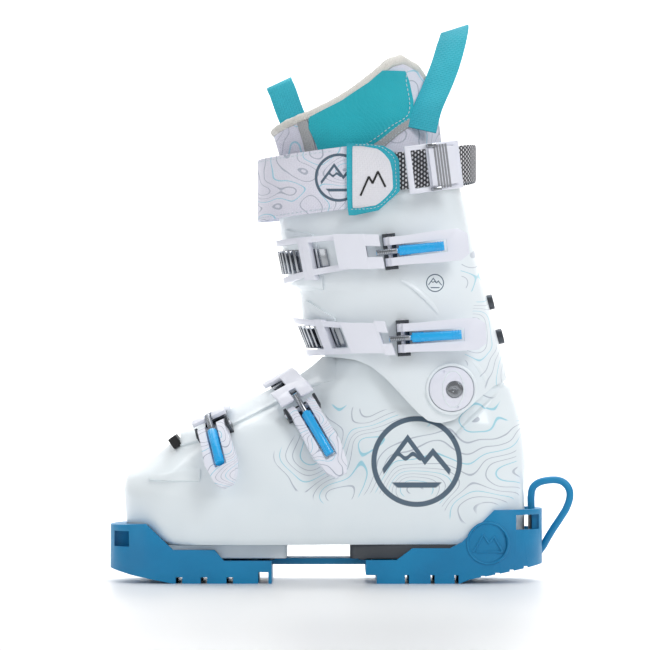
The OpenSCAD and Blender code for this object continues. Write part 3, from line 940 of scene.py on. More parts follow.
@dataclass(frozen=True)
class Finish:
    """One material: its colours, gloss, grain and what is printed on it.

    Attributes:
        slot: The record's material slot.
        color: Screen colour.
        second: Screen colour that it drifts towards, and on cloth the painted shade between the threads.
        rough: Roughness.
        metal: Metallic share.
        coat: Coat weight.
        grain: Height of the fine grain.
        bump: Distance of the bump in metres.
        threads: Threads per metre where it is cloth.
        ink: What is printed on it.
        key: A name of its own where two finishes share a slot.
        drift: How far it drifts to the second colour.
        sheen: Sheen weight for cloth.
    """

    slot: str
    color: tuple
    second: tuple
    rough: float = 0.4
    metal: float = 0.0
    coat: float = 0.0
    grain: float = 0.3
    bump: float = 0.00012
    threads: float = 0.0
    ink: Optional[Callable] = None
    key: str = ""
    drift: float = 0.4
    sheen: float = 0.0

    def material(self) -> bpy.types.Material:
        """Builds the material, or returns the one already built.

        Returns:
            The material.
        """
        name = (self.key or self.slot) + "_finish"
        if name in bpy.data.materials:
            return bpy.data.materials[name]
        mat = bpy.data.materials.new(name)
        mat.use_nodes = True
        net = Net(mat.node_tree)
        bsdf = next(n for n in mat.node_tree.nodes if n.type == "BSDF_PRINCIPLED")
        base = net.node("Group", node_tree=surface_group())
        for key, value in (("Color", srgb(*self.color)), ("Second", srgb(*self.second)), ("Drift", self.drift),
                           ("Roughness", self.rough), ("Grain", self.grain)):
            base.inputs[key].default_value = value
        color, height = base.outputs["Color"], base.outputs["Height"]
        # cloth: the weave paints shade in the second colour between the threads
        if self.threads:
            weave = net.node("Group", {"Color": color, "Shade": srgb(*self.second)}, node_tree=weave_group())
            weave.inputs["Threads"].default_value = self.threads
            color = weave.outputs["Color"]
            height = net.add(height, weave.outputs["Height"])
        if self.ink:
            color = self.ink(net, color)
        net.put(bsdf.inputs["Base Color"], color)
        net.put(bsdf.inputs["Roughness"], base.outputs["Roughness"])
        bsdf.inputs["Metallic"].default_value = self.metal
        bsdf.inputs["Coat Weight"].default_value = self.coat
        bsdf.inputs["Sheen Weight"].default_value = self.sheen
        bump = net.node("Bump", {"Height": height, "Strength": 0.6, "Distance": self.bump})
        net.put(bsdf.inputs["Normal"], bump.outputs[0])
        return mat

    def paint(self, obj: bpy.types.Object) -> None:
        """Gives obj this finish all over.

        Args:
            obj: The piece to paint.
        """
        obj.data.materials.clear()
        obj.data.materials.append(self.material())


INK = srgb(84, 104, 122)
CYAN = srgb(118, 205, 226)
GREY = srgb(164, 172, 188)


def contours(net: Net, color: Socket, scale: float, levels: float, mask: object, strength: float = 0.85) -> Socket:
    """Prints contour lines over a colour inside a mask.

    Args:
        net: The tree to add to.
        color: The colour under the print.
        scale: Scale of the relief.
        levels: Number of levels.
        mask: Where it is printed, 0 to 1.
        strength: How strongly it covers.

    Returns:
        The printed colour.
    """
    g = net.node("Group", node_tree=contour_group())
    g.inputs["Scale"].default_value, g.inputs["Levels"].default_value = scale, levels
    ink = net.mix(g.outputs["Second"], CYAN, GREY)
    return net.mix(net.mul(net.mul(g.outputs["Line"], mask), strength), color, ink)


def badge(net: Net, color: Socket, x: float, z: float, r: float, ink: tuple = INK) -> Socket:
    """Prints the mountain badge over a colour, its centre and radius in millimetres.

    Args:
        net: The tree to add to.
        color: The colour under the print.
        x: Its centre along the boot.
        z: Height of its centre.
        r: Its radius.
        ink: Colour of the print.

    Returns:
        The printed colour.
    """
    g = net.node("Group", node_tree=badge_group())
    g.inputs["Centre"].default_value, g.inputs["Radius"].default_value = (x * MM, 0, z * MM), r * MM
    return net.mix(g.outputs["Ink"], color, ink)


def area(net: Net, x: float, z: float, w: float, h: float) -> Socket:
    """A print area with its centre and half sizes in millimetres.

    Args:
        net: The tree to add to.
        x: Its centre along the boot.
        z: Height of its centre.
        w: Half its length.
        h: Half its height.

    Returns:
        The mask.
    """
    g = net.node("Group", node_tree=area_group())
    g.inputs["Centre"].default_value, g.inputs["Size"].default_value = (x * MM, 0, z * MM), (w * MM, 1, h * MM)
    return g.outputs["Mask"]


def shell_ink(net: Net, color: Socket) -> Socket:
    """Contours and the large badge on the lower shell.

    Args:
        net: The tree to add to.
        color: The colour under the print.

    Returns:
        The printed colour.
    """
    mask = net.math("MAXIMUM", area(net, -42, 88, 58, 30), area(net, 36, 92, 36, 44))
    color = contours(net, color, 17.0, 26.0, mask, 0.7)
    return badge(net, color, -2.1, 84.7, 31.2)


def cuff_ink(net: Net, color: Socket) -> Socket:
    """Contours behind and the small badge on the cuff.

    Args:
        net: The tree to add to.
        color: The colour under the print.

    Returns:
        The printed colour.
    """
    mask = net.math("MAXIMUM", area(net, 52, 168, 20, 34), area(net, 36, 215, 8, 14))
    color = contours(net, color, 20.0, 26.0, mask, 0.6)
    return badge(net, color, 10.4, 208.2, 6.2)


def strap_ink(net: Net, color: Socket) -> Socket:
    """Contours and a badge on the power strap."""
    color = contours(net, color, 24.0, 26.0, 1.0, 0.75)
    return badge(net, color, -56.0, 280.5, 16.5)


def all_ink(net: Net, color: Socket) -> Socket:
    """Contours all over."""
    return contours(net, color, 24.0, 22.0, 1.0, 0.65)


def lever_ink(net: Net, color: Socket) -> Socket:
    """Close contours on a lever."""
    return contours(net, color, 30.0, 26.0, 1.0, 0.8)


def dots(net: Net, color: Socket) -> Socket:
    """White dots in staggered rows along a webbing.

    Args:
        net: The tree to add to.
        color: The colour under the print.

    Returns:
        The printed colour.
    """
    at = net.parts(net.run_at())
    v = net.mul(at["Y"], 460.0)
    u = net.add(net.mul(at["X"], 330.0), net.mul(net.math("FLOORED_MODULO", net.math("FLOOR", v), 2.0), 0.5))
    a, b = (net.sub(net.math("FRACT", k), 0.5) for k in (u, v))
    far = net.far(a, b)
    return net.mix(net.step(far, 0.34, 0.24), color, srgb(232, 232, 236))


class Paint(Enum):
    """Every finish of the boot."""

    SHELL = Finish("shell_white", (236, 244, 248), (226, 237, 243), 0.33, coat=0.25, grain=0.25, ink=shell_ink)
    CUFF = Finish("shell_white", (238, 245, 249), (229, 239, 245), 0.33,
                  coat=0.25, grain=0.25, ink=cuff_ink, key="cuff_white")
    BUCKLE = Finish("buckle_white", (238, 240, 250), (228, 231, 245), 0.36, coat=0.2, grain=0.3)
    LEVER = Finish("buckle_white", (238, 240, 250), (226, 230, 244), 0.36,
                   coat=0.2, grain=0.3, ink=lever_ink, key="lever_print")
    RUBBER = Finish("protector_blue", (0, 134, 186), (0, 112, 164), 0.46, grain=0.9, bump=0.0002, drift=0.6)
    BARREL = Finish("barrel_blue", (20, 178, 244), (8, 156, 226), 0.26, coat=0.4, grain=0.2)
    CHROME = Finish("chrome", (176, 180, 186), (96, 100, 108), 0.16, metal=1.0, grain=0.35, bump=0.00006)
    STEEL = Finish("dark_steel", (92, 96, 102), (66, 70, 76), 0.32, metal=1.0, grain=0.6, bump=0.00008)
    LINER = Finish("liner_fabric", (234, 234, 247), (208, 208, 228), 0.75,
                   threads=700, ink=all_ink, bump=0.0003, sheen=0.25)
    WHITE_CLOTH = Finish("liner_fabric", (238, 238, 244), (214, 214, 226), 0.8,
                         threads=700, key="white_cloth", bump=0.0003, sheen=0.25)
    TURQUOISE = Finish("turquoise_fabric", (22, 186, 202), (8, 158, 176), 0.7, threads=800, bump=0.0003, sheen=0.2)
    TURQUOISE_WEB = Finish("turquoise_fabric", (52, 190, 210), (14, 142, 166), 0.62,
                           threads=620, key="turquoise_web", bump=0.0004)
    BINDING = Finish("binding_cream", (232, 230, 224), (202, 198, 190), 0.8, threads=650, bump=0.0004, sheen=0.3)
    BAND = Finish("binding_cream", (176, 178, 180), (140, 142, 146), 0.75,
                  threads=700, key="grey_band", bump=0.0003, sheen=0.2)
    STRAP = Finish("liner_fabric", (236, 236, 248), (214, 214, 234), 0.7,
                   threads=800, ink=strap_ink, key="strap_print", bump=0.0003, sheen=0.15)
    WEBBING = Finish("webbing_grey", (70, 70, 74), (40, 40, 44), 0.75, threads=520, ink=dots, bump=0.0005)
    THREAD = Finish("binding_cream", (206, 222, 228), (150, 176, 190), 0.6, key="thread", grain=0.8)
    SOLE = Finish("sole_grey", (216, 224, 230), (196, 205, 213), 0.45, grain=0.6)
    SOLE_DARK = Finish("sole_dark", (74, 78, 83), (54, 57, 62), 0.55, grain=0.9)
    SEAL = Finish("seal_black", (28, 29, 31), (16, 16, 18), 0.6, grain=0.8)
    FOOTBED = Finish("footbed_blue", (104, 140, 158), (70, 104, 124), 0.8, grain=1.0)
    RIB = Finish("buckle_white", (150, 152, 158), (120, 122, 128), 0.5, grain=0.6, key="rib_grey")

    def on(self, obj: bpy.types.Object) -> None:
        """Paints obj with this finish."""
        self.value.paint(obj)


# ---------------------------------------------------------------- pieces


def bake_run(obj: bpy.types.Object) -> bpy.types.Object:
    """Gives obj a UV map named run, in metres, unfolded from its sides.

    Args:
        obj: The piece.

    Returns:
        The same piece.
    """
    if "run" not in obj.data.uv_layers:
        lay = obj.data.uv_layers.active or obj.data.uv_layers.new(name="run")
        lay.name = "run"
        take(obj)
        bpy.ops.object.mode_set(mode="EDIT")
        bpy.ops.mesh.select_all(action="SELECT")
        bpy.ops.uv.cube_project(cube_size=1.0, correct_aspect=False, clip_to_bounds=False, scale_to_bounds=False)
        bpy.ops.object.mode_set(mode="OBJECT")
    return obj


def settle(obj: bpy.types.Object, body: str, paint: Paint, *nodes: str) -> bpy.types.Object:
    """Paints a piece, stands it for its CAD nodes and puts it on its body.

    Args:
        obj: The piece.
        body: The body that it rides on.
        paint: Its finish.
        nodes: The CAD nodes that it stands for.

    Returns:
        The same piece.
    """
    if paint.value.threads:
        bake_run(obj)
    paint.on(obj)
    if nodes:
        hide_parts(*nodes)
    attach(obj, str(body.value if isinstance(body, Body) else body))
    return obj


def dress(node: str, name: str, body: str, paint: Paint, width: float, segments: int = 3) -> bpy.types.Object:
    """Makes the rounded piece that stands for a CAD node, painted and on its body.

    Args:
        node: The CAD node.
        name: The new piece's name.
        body: The body that it rides on.
        paint: Its finish.
        width: Edge radius in millimetres.
        segments: Steps of the rounding.

    Returns:
        The new piece.
    """
    return settle(refined(node, name, width, segments), body, paint, node)


def patch(name: str, place: Place, outline: Sequence[Point], thick: float, nu: int = 40, nv: int = 20,
          crown: float = 0.0) -> bpy.types.Object:
    """A plate that lies on a curved surface, cut to an outline.

    Args:
        name: The piece's name.
        place: Maps u, v and a height over the surface to a point.
        outline: Left and right limits in u for rows evenly spaced in v: (v, u0, u1).
        thick: Its thickness.
        nu: Points along.
        nv: Points across.
        crown: Extra height in the middle.

    Returns:
        The closed plate.
    """
    rows = np.asarray(outline, float)
    vs = np.linspace(rows[0, 0], rows[-1, 0], nv)
    rings = []
    for v in vs:
        u0, u1 = np.interp(v, rows[:, 0], rows[:, 1]), np.interp(v, rows[:, 0], rows[:, 2])
        us = np.linspace(u0, u1, nu)
        q = [4 * (u - u0) * (u1 - u) / max((u1 - u0) ** 2, 1e-9) for u in us]
        upper = [place(u, v, thick + crown * k) for u, k in zip(us, q)]
        lower = [place(u, v, 0.0) for u in us[::-1]]
        rings.append(upper + lower)
    return grid(name, np.array([[tuple(p) for p in r] for r in rings]), closed=True, caps=True)


@dataclass
class Shell:
    """Lower shell with its overlap, toe gap, sole blocks, footbed and seal."""

    form: ShellForm = field(default_factory=ShellForm)
    gap_size: tuple = (7.2, 46, 9.0)
    gap_at: tuple = (-170.4, 0, 101.5)
    gap_turn: float = 38

    def welt(self, x: float) -> float:
        """Height of the overlap's edge at x on the outer side."""
        return look(x, [[-185, 88], [-168, 94], [-150, 99], [-130, 109], [-100, 124], [-80, 134], [-60, 141]])

    def outer(self) -> bpy.types.Object:
        """The shell's skin, open at the top, with a wall turned inwards.

        Returns:
            The new piece.
        """
        zs = np.concatenate([np.linspace(27, 40, 6), np.linspace(43, 96, 22), np.linspace(98, 157.1, 40)])
        rings, n = [], 64
        for z in zs:
            r = self.form.ring(float(z), n)
            if z < 31:
                mid, tuck = r.mean(0), 1 - 0.035 * ((31 - z) / 4) ** 2
                r[:, 0] = mid[0] + (r[:, 0] - mid[0]) * tuck
                r[:, 1] *= tuck
            rings.append(r)
        for z in (157.1, 150, 130, 100, 60, 50):
            inner = []
            for p in self.form.ring(z, n):
                y = math.copysign(max(0.3, abs(p[1]) - WALL), p[1]) if abs(p[1]) > 1e-6 else 0.0
                f, b = self.form.front_x(z), look(z, self.form.rear)
                x = (f + b) / 2 + (p[0] - (f + b) / 2) * ((b - f) / 2 - 4.5) / ((b - f) / 2)
                inner.append((x, y, z))
            rings.append(np.array(inner))
        obj = grid("lower_shell_skin", np.array(rings), closed=True, caps=True)
        return smooth(obj, 50)

    def side(self, x: float, z: float, off: float) -> tuple:
        """A point off the outer side of the shell."""
        return self.form.surface(x, z, -1.0, off)

    def overlap(self) -> bpy.types.Object:
        """The overlapping flap along the instep, from its edge up to the ridge and over.

        Returns:
            The new piece.
        """
        xs, rings = np.linspace(-166, -58, 46), []
        for x in xs:
            top, edge = self.form.ridge(x), self.welt(x)
            pts = []
            for k in np.linspace(0, 1, 12):
                z = edge + (min(top, 158) - 0.6 - edge) * math.sin(k * math.pi / 2)
                pts.append((x, z))
            lift = look(x, [[-90, 1.5], [-72, 0.35], [-58, 0.2]])
            outer = [self.side(px, pz, lift) for px, pz in pts]
            inner = [self.side(px, pz, -0.6) for px, pz in pts[::-1]]
            rings.append(outer + inner)
        obj = grid("shell_overlap", np.array(rings), closed=True, caps=True)
        return soften(obj, 0.5, 2, 50)

    def toe_step(self) -> bpy.types.Object:
        """The raised wedge bar on the outer side of the toe box.

        Returns:
            The new piece.
        """
        rows = [(71.2, -187.6, -152.2), (73.5, -187.8, -151.8), (76.5, -170, -151.6), (79.5, -156, -151.6)]
        obj = patch("toe_wedge", lambda u, v, h: self.side(u, v, h - 0.4), rows, 1.9, 26, 8)
        return soften(obj, 0.6, 3, 40)

    def crease(self) -> bpy.types.Object:
        """A low moulded fold that runs up the heel.

        Returns:
            The new piece.
        """
        path = curve_through([(22, 102), (32, 112), (42, 121), (52, 131), (60, 139)], 30)
        pts = np.array([self.side(x, z, -0.9) for x, z in path])
        fold = sweep("heel_fold", pts, lambda s: oval(3.2, 1.25 * math.sin(math.pi * min(1, s * 1.02 + 0.01)), 12),
                     (0.2, 0.6, 0.8))
        return smooth(fold, 60)

    def build(self) -> None:
        """Builds the pieces of the lower shell."""
        skin = self.outer()
        cut(skin, block(self.gap_size, self.gap_at, self.gap_turn))
        settle(smooth(skin, 40), Body.BOOT, Paint.SHELL, "lower_shell")
        settle(self.overlap(), Body.BOOT, Paint.SHELL)
        settle(self.toe_step(), Body.BOOT, Paint.SHELL)
        settle(self.crease(), Body.BOOT, Paint.SHELL)
        dress("toe_seal", "toe_bellows", Body.BOOT, Paint.SEAL, 0.8)
        for node, paint in (("toe_sole", Paint.SOLE), ("heel_sole", Paint.SOLE_DARK)):
            dress(node, node + "_block", Body.BOOT, paint, 0.9)
        for node in ("sole_screws", "pivot_bosses"):
            dress(node, node + "_set", Body.BOOT, Paint.STEEL, 0.25, 2)
        dress("boot_board", "boot_board_plate", Body.BOOT, Paint.SEAL, 0.6)
        dress("footbed", "footbed_insole", Body.BOOT, Paint.FOOTBED, 0.7)


@dataclass
class Cuff:
    """Cuff with its front flaps, ankle disc, spine bolts and creases."""

    form: CuffForm = field(default_factory=CuffForm)
    n: int = 128
    ankle_at: tuple = (23.8, 0, 134.7)
    ankle_hole: float = 4.4

    def at(self, t: float, z: float, off: float = 0.0) -> tuple:
        """A point off the outer face."""
        return tuple(self.form.point(t, z, off))

    def on_side(self, x: float, z: float, off: float = 0.0) -> tuple:
        """A point off the outer side at x and z."""
        return self.at(self.form.t_of(x, z), z, off)

    def row(self, k: float, off: float) -> list:
        """A ring of the wall at share k of its height, off outside the outer face.

        Args:
            k: Share of the height.
            off: Distance outside the face.

        Returns:
            The points of the ring.
        """
        ring = []
        for t in np.linspace(0, 1, self.n, endpoint=False):
            low = self.form.low_z(t)
            ring.append(self.form.point(t, low + (self.form.top_z(t) - low) * k, off))
        return ring

    def skin(self) -> bpy.types.Object:
        """The cuff's wall with a rounded rim and the ankle opening's wavy edge.

        Returns:
            The new piece.
        """
        m, rings = 44, []
        for k in np.arange(m + 1) / m:
            rings.append(self.row(k, -0.9 * max(0, 1 - k * 16) ** 2 - 0.9 * max(0, 1 - (1 - k) * 20) ** 2))
        rings += [self.row(j / 12, -WALL) for j in range(12, -1, -1)]
        rings.append(rings[0])
        obj = grid("cuff_skin", np.array(rings), closed=True)
        edit(obj, lambda: weld(1e-6), outward)
        return smooth(obj, 50)

    def flap(self, name: str, rows: Sequence[tuple], thick: float = 2.2) -> bpy.types.Object:
        """A flap that laps over the front, given by rows of height and x limits."""
        obj = patch(name, lambda u, v, h: self.on_side(u, v, h - 0.5), rows, thick, 26, 14)
        return soften(obj, 0.9, 3, 40)

    def crease(self, name: str, points: Sequence[Point], width: float = 2.6, high: float = 1.1) -> bpy.types.Object:
        """A low rounded fold along points in side view.

        Args:
            name: The piece's name.
            points: Points x, z of its run.
            width: Half its width.
            high: Its height.

        Returns:
            The fold.
        """
        path = curve_through(points, 26)
        pts = np.array([self.on_side(x, z, -0.7) for x, z in path])
        fold = sweep(name, pts, lambda s: oval(width, high * (0.15 + math.sin(math.pi * min(1, max(0, s)))), 12),
                     (0.3, 0.5, 0.8))
        return smooth(fold, 60)

    def disc(self) -> None:
        """The canting disc: seat, rim, oval inlay and the slotted screw."""
        dress("disc_seat", "disc_seat_ring", Body.CUFF, Paint.CUFF, 0.8)
        dress("canting_disc", "canting_disc_plate", Body.CUFF, Paint.BUCKLE, 0.35, 2)
        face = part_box("canting_disc")[0].y / MM
        turns = np.linspace(0, TURN, 64)
        track = np.array([(21.7 + 1.2 + 7.2 * math.cos(a), face + 0.1, 135 + 12.6 * math.sin(a)) for a in turns])
        settle(smooth(sweep("disc_oval", track, lambda s: oval(0.55, 0.4, 10), (0, 1, 0)), 60), Body.CUFF, Paint.CUFF)
        dress("pivot_screw", "pivot_screw_head", Body.BOOT, Paint.CHROME, 0.4)
        dress("inner_pivot", "inner_pivot_head", Body.BOOT, Paint.STEEL, 0.6)

    def build(self) -> None:
        """Builds the pieces of the cuff."""
        skin = self.skin()
        cut(skin, primitive("cylinder", self.ankle_at, QUARTER_X, vertices=48, radius=self.ankle_hole * MM, depth=0.3))
        settle(smooth(skin, 40), Body.CUFF, Paint.CUFF, "cuff")
        upper = [(203.5, -66.5, -66), (207, -84, -66.2), (228, -88, -68), (236, -90, -71), (243, -91.5, -74.5),
                 (245.5, -92, -91)]
        lower = [(172, -59, -57.5), (184, -67, -58), (190, -76, -68), (196, -79, -77)]
        folds = (("front_fold", [(-12, 212), (-4, 206), (6, 197), (14, 189)], 3.0, 1.3),
                 ("rear_fold", [(36, 157), (41, 150), (46, 142), (49, 138)], 2.6, 1.1))
        settle(self.flap("upper_flap", upper), Body.CUFF, Paint.CUFF)
        settle(self.flap("lower_flap", lower, 2.0), Body.CUFF, Paint.CUFF)
        for fold in folds:
            settle(self.crease(*fold), Body.CUFF, Paint.CUFF)
        dress("spine_bolts", "spine_bolt_heads", Body.CUFF, Paint.STEEL, 0.5)
        self.disc()


@dataclass(frozen=True)
class BuckleSet:
    """One buckle: its name, the body it stands on, its place and axes, and the sizes of its rod."""

    name: str
    body: Body
    at: tuple
    along: tuple
    out: tuple
    rise: float = 5.4
    rod_radius: float = 1.9
    pitch: float = 1.25

    def axes(self) -> Matrix:
        """Matrix from the buckle's own axes, in millimetres, to the frame, in metres.

        Returns:
            The matrix.
        """
        e1 = Vector(self.along).normalized()
        e3 = Vector(self.out)
        e3 = (e3 - e1 * e3.dot(e1)).normalized()
        e2 = e3.cross(e1)
        m = Matrix((e1, e2, e3)).transposed().to_4x4()
        return Matrix.Translation(Vector(self.at) * MM) @ m @ Matrix.Scale(MM, 4)

    def place(self, obj: bpy.types.Object) -> bpy.types.Object:
        """Moves a piece modelled in the buckle's own axes into the frame.

        Args:
            obj: The piece.

        Returns:
            The same piece.
        """
        obj.data.transform(self.axes() @ Matrix.Scale(1 / MM, 4))
        obj.data.update()
        return obj

    def ribs(self) -> bpy.types.Object:
        """Grip rings round the end of the micro-adjust barrel.

        Returns:
            The new piece.
        """
        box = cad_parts[self.name + "_barrel"]
        co = np.array([v.co for v in box.data.vertices])
        inv = np.array(self.axes().inverted())
        loc = co @ inv[:3, :3].T + inv[:3, 3]
        tip, parts = loc[:, 0].max(), []
        for k in range(3):
            x = tip - 2.0 - k * 1.9
            parts.append(primitive("torus", (x, 0, self.rise), QUARTER_Y, major_segments=32, minor_segments=6,
                                   major_radius=3.16 * MM, minor_radius=0.32 * MM))
        return self.place(join(self.name + "_barrel_knurls", parts))

    def thread(self) -> bpy.types.Object:
        """The screw thread on the rod, as close rings swept on a helix.

        Returns:
            The new piece.
        """
        turns, rings = 9, []
        for a in np.linspace(0, turns * 2 * math.pi, turns * 18):
            x = -9.5 + a / TURN * self.pitch
            c = np.array([x, self.rod_radius * math.cos(a), self.rise + self.rod_radius * math.sin(a)])
            radial = np.array([0, math.cos(a), math.sin(a)])
            flank = np.array([0.34, 0, 0])
            rings.append([c + radial * 0.32, c + flank - radial * 0.1, c - flank - radial * 0.1])
        rod = primitive("cylinder", (-2.3, 0, self.rise), QUARTER_Y, vertices=32, radius=1.98 * MM, depth=14.4 * MM)
        core = soften(rod, 0.3, 2, 40)
        helix = grid(self.name + "_helix", np.array(rings), closed=True, caps=True)
        return smooth(self.place(join(self.name + "_rod_thread", [core, helix])), 50)

    def part(self, node: str, name: str, body: str, paint: Paint, width: float, segments: int = 3) -> None:
        """Dresses one of the buckle's CAD nodes."""
        dress(f"{self.name}_{node}", f"{self.name}_{name}", body, paint, width, segments)

    def build(self) -> None:
        """Builds the buckle's pieces on their bodies."""
        arm, catch = self.name + "_lever_arm", self.name + "_catch"
        print_ = Paint.LEVER if self.name in ("instep", "toe") else Paint.BUCKLE
        self.part("lever", "lever_body", arm, print_, 0.9)
        self.part("bail", "catch_frame", catch, Paint.BUCKLE, 0.6, 2)
        self.part("barrel", "barrel_body", catch, Paint.BARREL, 0.35, 2)
        settle(smooth(self.ribs()), catch, Paint.BARREL)
        settle(self.thread(), catch, Paint.CHROME)
        self.part("ladder", "ladder_strip", self.body, Paint.CHROME, 0.3, 2)
        self.part("bracket", "bracket_fork", self.body, Paint.STEEL, 0.5, 2)


def ribbon(name: str, path: Sequence[Point], width: float, thick: float, place: Place,
           n: int = 60) -> bpy.types.Object:
    """A flat band that follows a path drawn in side view over a surface.

    Args:
        name: The piece's name.
        path: Points x, z of its centre line.
        width: Its width.
        thick: Its thickness.
        place: Maps x, z and a height over the surface to a point.
        n: Points along.

    Returns:
        The closed band.
    """
    line, rings = curve_through(path, n), []
    for i in range(n):
        d = line[min(n - 1, i + 1)] - line[max(0, i - 1)]
        side = np.array([-d[1], d[0]]) / max(np.linalg.norm(d), 1e-9)
        row = [(line[i] + side * width * k, thick * (1 - 0.45 * abs(2 * k) ** 4)) for k in np.linspace(-0.5, 0.5, 7)]
        rings.append([place(p[0], p[1], h) for p, h in row] + [place(p[0], p[1], -0.3) for p, _ in row[::-1]])
    return smooth(grid(name, np.array([[tuple(p) for p in r] for r in rings]), closed=True, caps=True), 60)


def stitches(name: str, points: np.ndarray, normal: Callable[[np.ndarray], Point], pitch: float = 3.2,
             size: float = 0.3) -> bpy.types.Object:
    """A row of short thread stitches along points, each lying on the cloth.

    Args:
        name: The piece's name.
        points: Points of the seam.
        normal: Gives the cloth's outward direction at a point.
        pitch: Length from stitch to stitch.
        size: Half the thickness of the thread.

    Returns:
        The row of stitches.
    """
    steps = np.concatenate([[0], np.cumsum(np.linalg.norm(np.diff(points, axis=0), axis=1))])
    parts = []
    for s in np.arange(pitch * 0.5, steps[-1] - pitch * 0.5, pitch):
        a, b = (np.array([np.interp(s + k * pitch * 0.36, steps, points[:, i]) for i in range(3)]) for k in (-1, 1))
        m = (a + b) / 2
        up = Vector(normal(m)).normalized()
        along = Vector(b - a).normalized()
        turn = Matrix((along, up.cross(along).normalized(), up)).transposed().to_4x4()
        deselect()
        bpy.ops.mesh.primitive_uv_sphere_add(segments=8, ring_count=6, radius=1)
        o = bpy.context.object
        shape = Matrix.Diagonal((np.linalg.norm(b - a) / 2 * MM, size * MM, size * 0.8 * MM, 1))
        o.data.transform(Matrix.Translation(Vector(m) * MM) @ turn @ shape)
        parts.append(o)
    return smooth(join(name, parts), 80)


@dataclass
class Liner:
    """Padded liner with its collar roll, side panels, bands, tongue and pull loops."""

    form: LinerForm = field(default_factory=LinerForm)
    shell: ShellForm = field(default_factory=ShellForm)
    n: int = 64
    front_size: tuple = (19, 114)
    rear_size: tuple = (20, 185)
    collar_half: tuple = (4.9, 3.9)
    collar_in: float = 4.0
    ankle: tuple = (-10, 132, 166)

    def foot_ring(self, z: float, d: float) -> list:
        """A ring of the foot part, d inside the shell's outer face.

        Args:
            z: Height.
            d: Distance inside the shell's outer face.

        Returns:
            The points of the ring.
        """
        f, r, out = self.shell.front_x(z) + d, look(z, self.shell.rear) - d, []
        for k in range(2 * self.n):
            x = f + (r - f) * (1 - math.cos(math.pi * k / self.n)) / 2
            y = 0.0 if k in (0, self.n) else max(0.3, self.shell.half(x, z, d))
            out.append((x, look(x, self.shell.centre) + (-y if k <= self.n else y), z))
        return out

    def leg_ring(self, k: float, d: float, base: float = 166.0) -> list:
        """A ring of the leg part at share k of its height, with soft folds.

        Args:
            k: Share of the height.
            d: Distance outside the liner's outer face.
            base: Height at which the leg part starts.

        Returns:
            The points of the ring.
        """
        out = []
        for i in range(2 * self.n):
            t = i / (2 * self.n)
            z = base + (self.form.rim_z(t) - 2.4 - base) * k
            puff = 0.5 * math.sin(z / 6.5 + 3 * math.sin(4 * math.pi * t)) * math.exp(-(((z - 190) / 26) ** 2))
            out.append(tuple(self.form.point(t, z, d + puff)))
        return out

    def skin(self) -> bpy.types.Object:
        """The liner's outer and inner skins in one piece.

        Returns:
            The new piece.
        """
        outer = [self.foot_ring(z, 6.3) for z in (50.6, 56, 66, 80, 96, 112, 126, 138, 147)]
        outer += [self.leg_ring(k, -0.4) for k in np.linspace(0, 1, 44)]
        inner = [self.leg_ring(k, -7.6) for k in np.linspace(1, 0, 30)]
        inner += [self.foot_ring(z, 14.5) for z in (140, 128, 112, 96, 80, 66, 58)]
        obj = grid("liner_body", np.array(outer + inner), closed=True, caps=True)
        return smooth(obj, 60)

    def side(self, x: float, z: float, off: float = 0.0) -> tuple:
        """A point off the liner's outer side."""
        return self.form.side(x, z, -1.0, off)

    def far_side(self, x: float, z: float, off: float = 0.0) -> tuple:
        """A point off the liner's inner side, towards the other foot."""
        return self.form.side(x, z, 1.0, off)

    def roll(self) -> bpy.types.Object:
        """The rolled binding along the collar, a little uneven as sewn foam is.

        Returns:
            The new piece.
        """
        rings, turns, (wide, high) = [], 220, self.collar_half
        for i in range(turns):
            t = i / turns
            z0 = self.form.rim_z(t)
            swell = 1 + 0.035 * math.sin(TURN * t * 23) + 0.03 * math.sin(TURN * t * 51 + 1.3)
            ring = []
            for k in range(18):
                a = TURN * k / 18
                pinch = 1.0
                for seam in (300, 240):
                    pinch -= 0.1 * math.exp(-(((math.degrees(a) - seam) / 16) ** 2))
                up, side = high * swell * pinch * math.sin(a), wide * swell * pinch * math.cos(a)
                ring.append(self.form.point(t, z0 + 0.4 + up, side - self.collar_in))
            rings.append(ring)
        rings.append(rings[0])
        obj = grid("collar_roll", np.array(rings), closed=True)
        edit(obj, lambda: weld(1e-6), outward)
        return smooth(obj, 80)

    def panel(self, name: str, place: Place) -> bpy.types.Object:
        """The padded side panel under the collar.

        Args:
            name: The piece's name.
            place: Maps x, z and a height over the surface to a point.

        Returns:
            The panel.
        """
        rows = [(290, -66, -50), (300, -70.4, -38), (306.8, -73, -27.6), (315.1, -77, -17.3), (322.7, -77, -5.5),
                (326, -70.5, -4.6), (334, -54.5, -4.1), (347.5, -34.5, -6.9), (355, -26, -9.8)]
        obj = patch(name, lambda u, v, h: place(u, v, h - 0.3), rows, 1.3, 40, 40, 1.5)
        return soften(obj, 0.7, 3, 40)

    def loop(self, name: str, points: Sequence[Point], lean: Point, width: float,
             thick: float = 1.7) -> bpy.types.Object:
        """A webbing loop swept along points with its width along lean.

        Args:
            name: The piece's name.
            points: Points of its run.
            lean: Direction that its width keeps to.
            width: Its width.
            thick: Its thickness.

        Returns:
            The loop.
        """
        path, w, h = curve_through(points, 90), width / 2, thick / 2
        lower = [(-w, -h + 0.3), (-w + 0.4, -h), (0, -h + 0.05), (w - 0.4, -h), (w, -h + 0.3)]
        section = lower + [(u, -v) for u, v in lower[::-1]]
        return smooth(sweep(name, path, lambda s: section, lean), 50)

    def edge(self, rows: Sequence[Point], place: Place, off: float) -> np.ndarray:
        """Points on a surface along a line drawn in side view."""
        return np.array([place(x, z, off) for x, z in curve_through(rows, 60)])

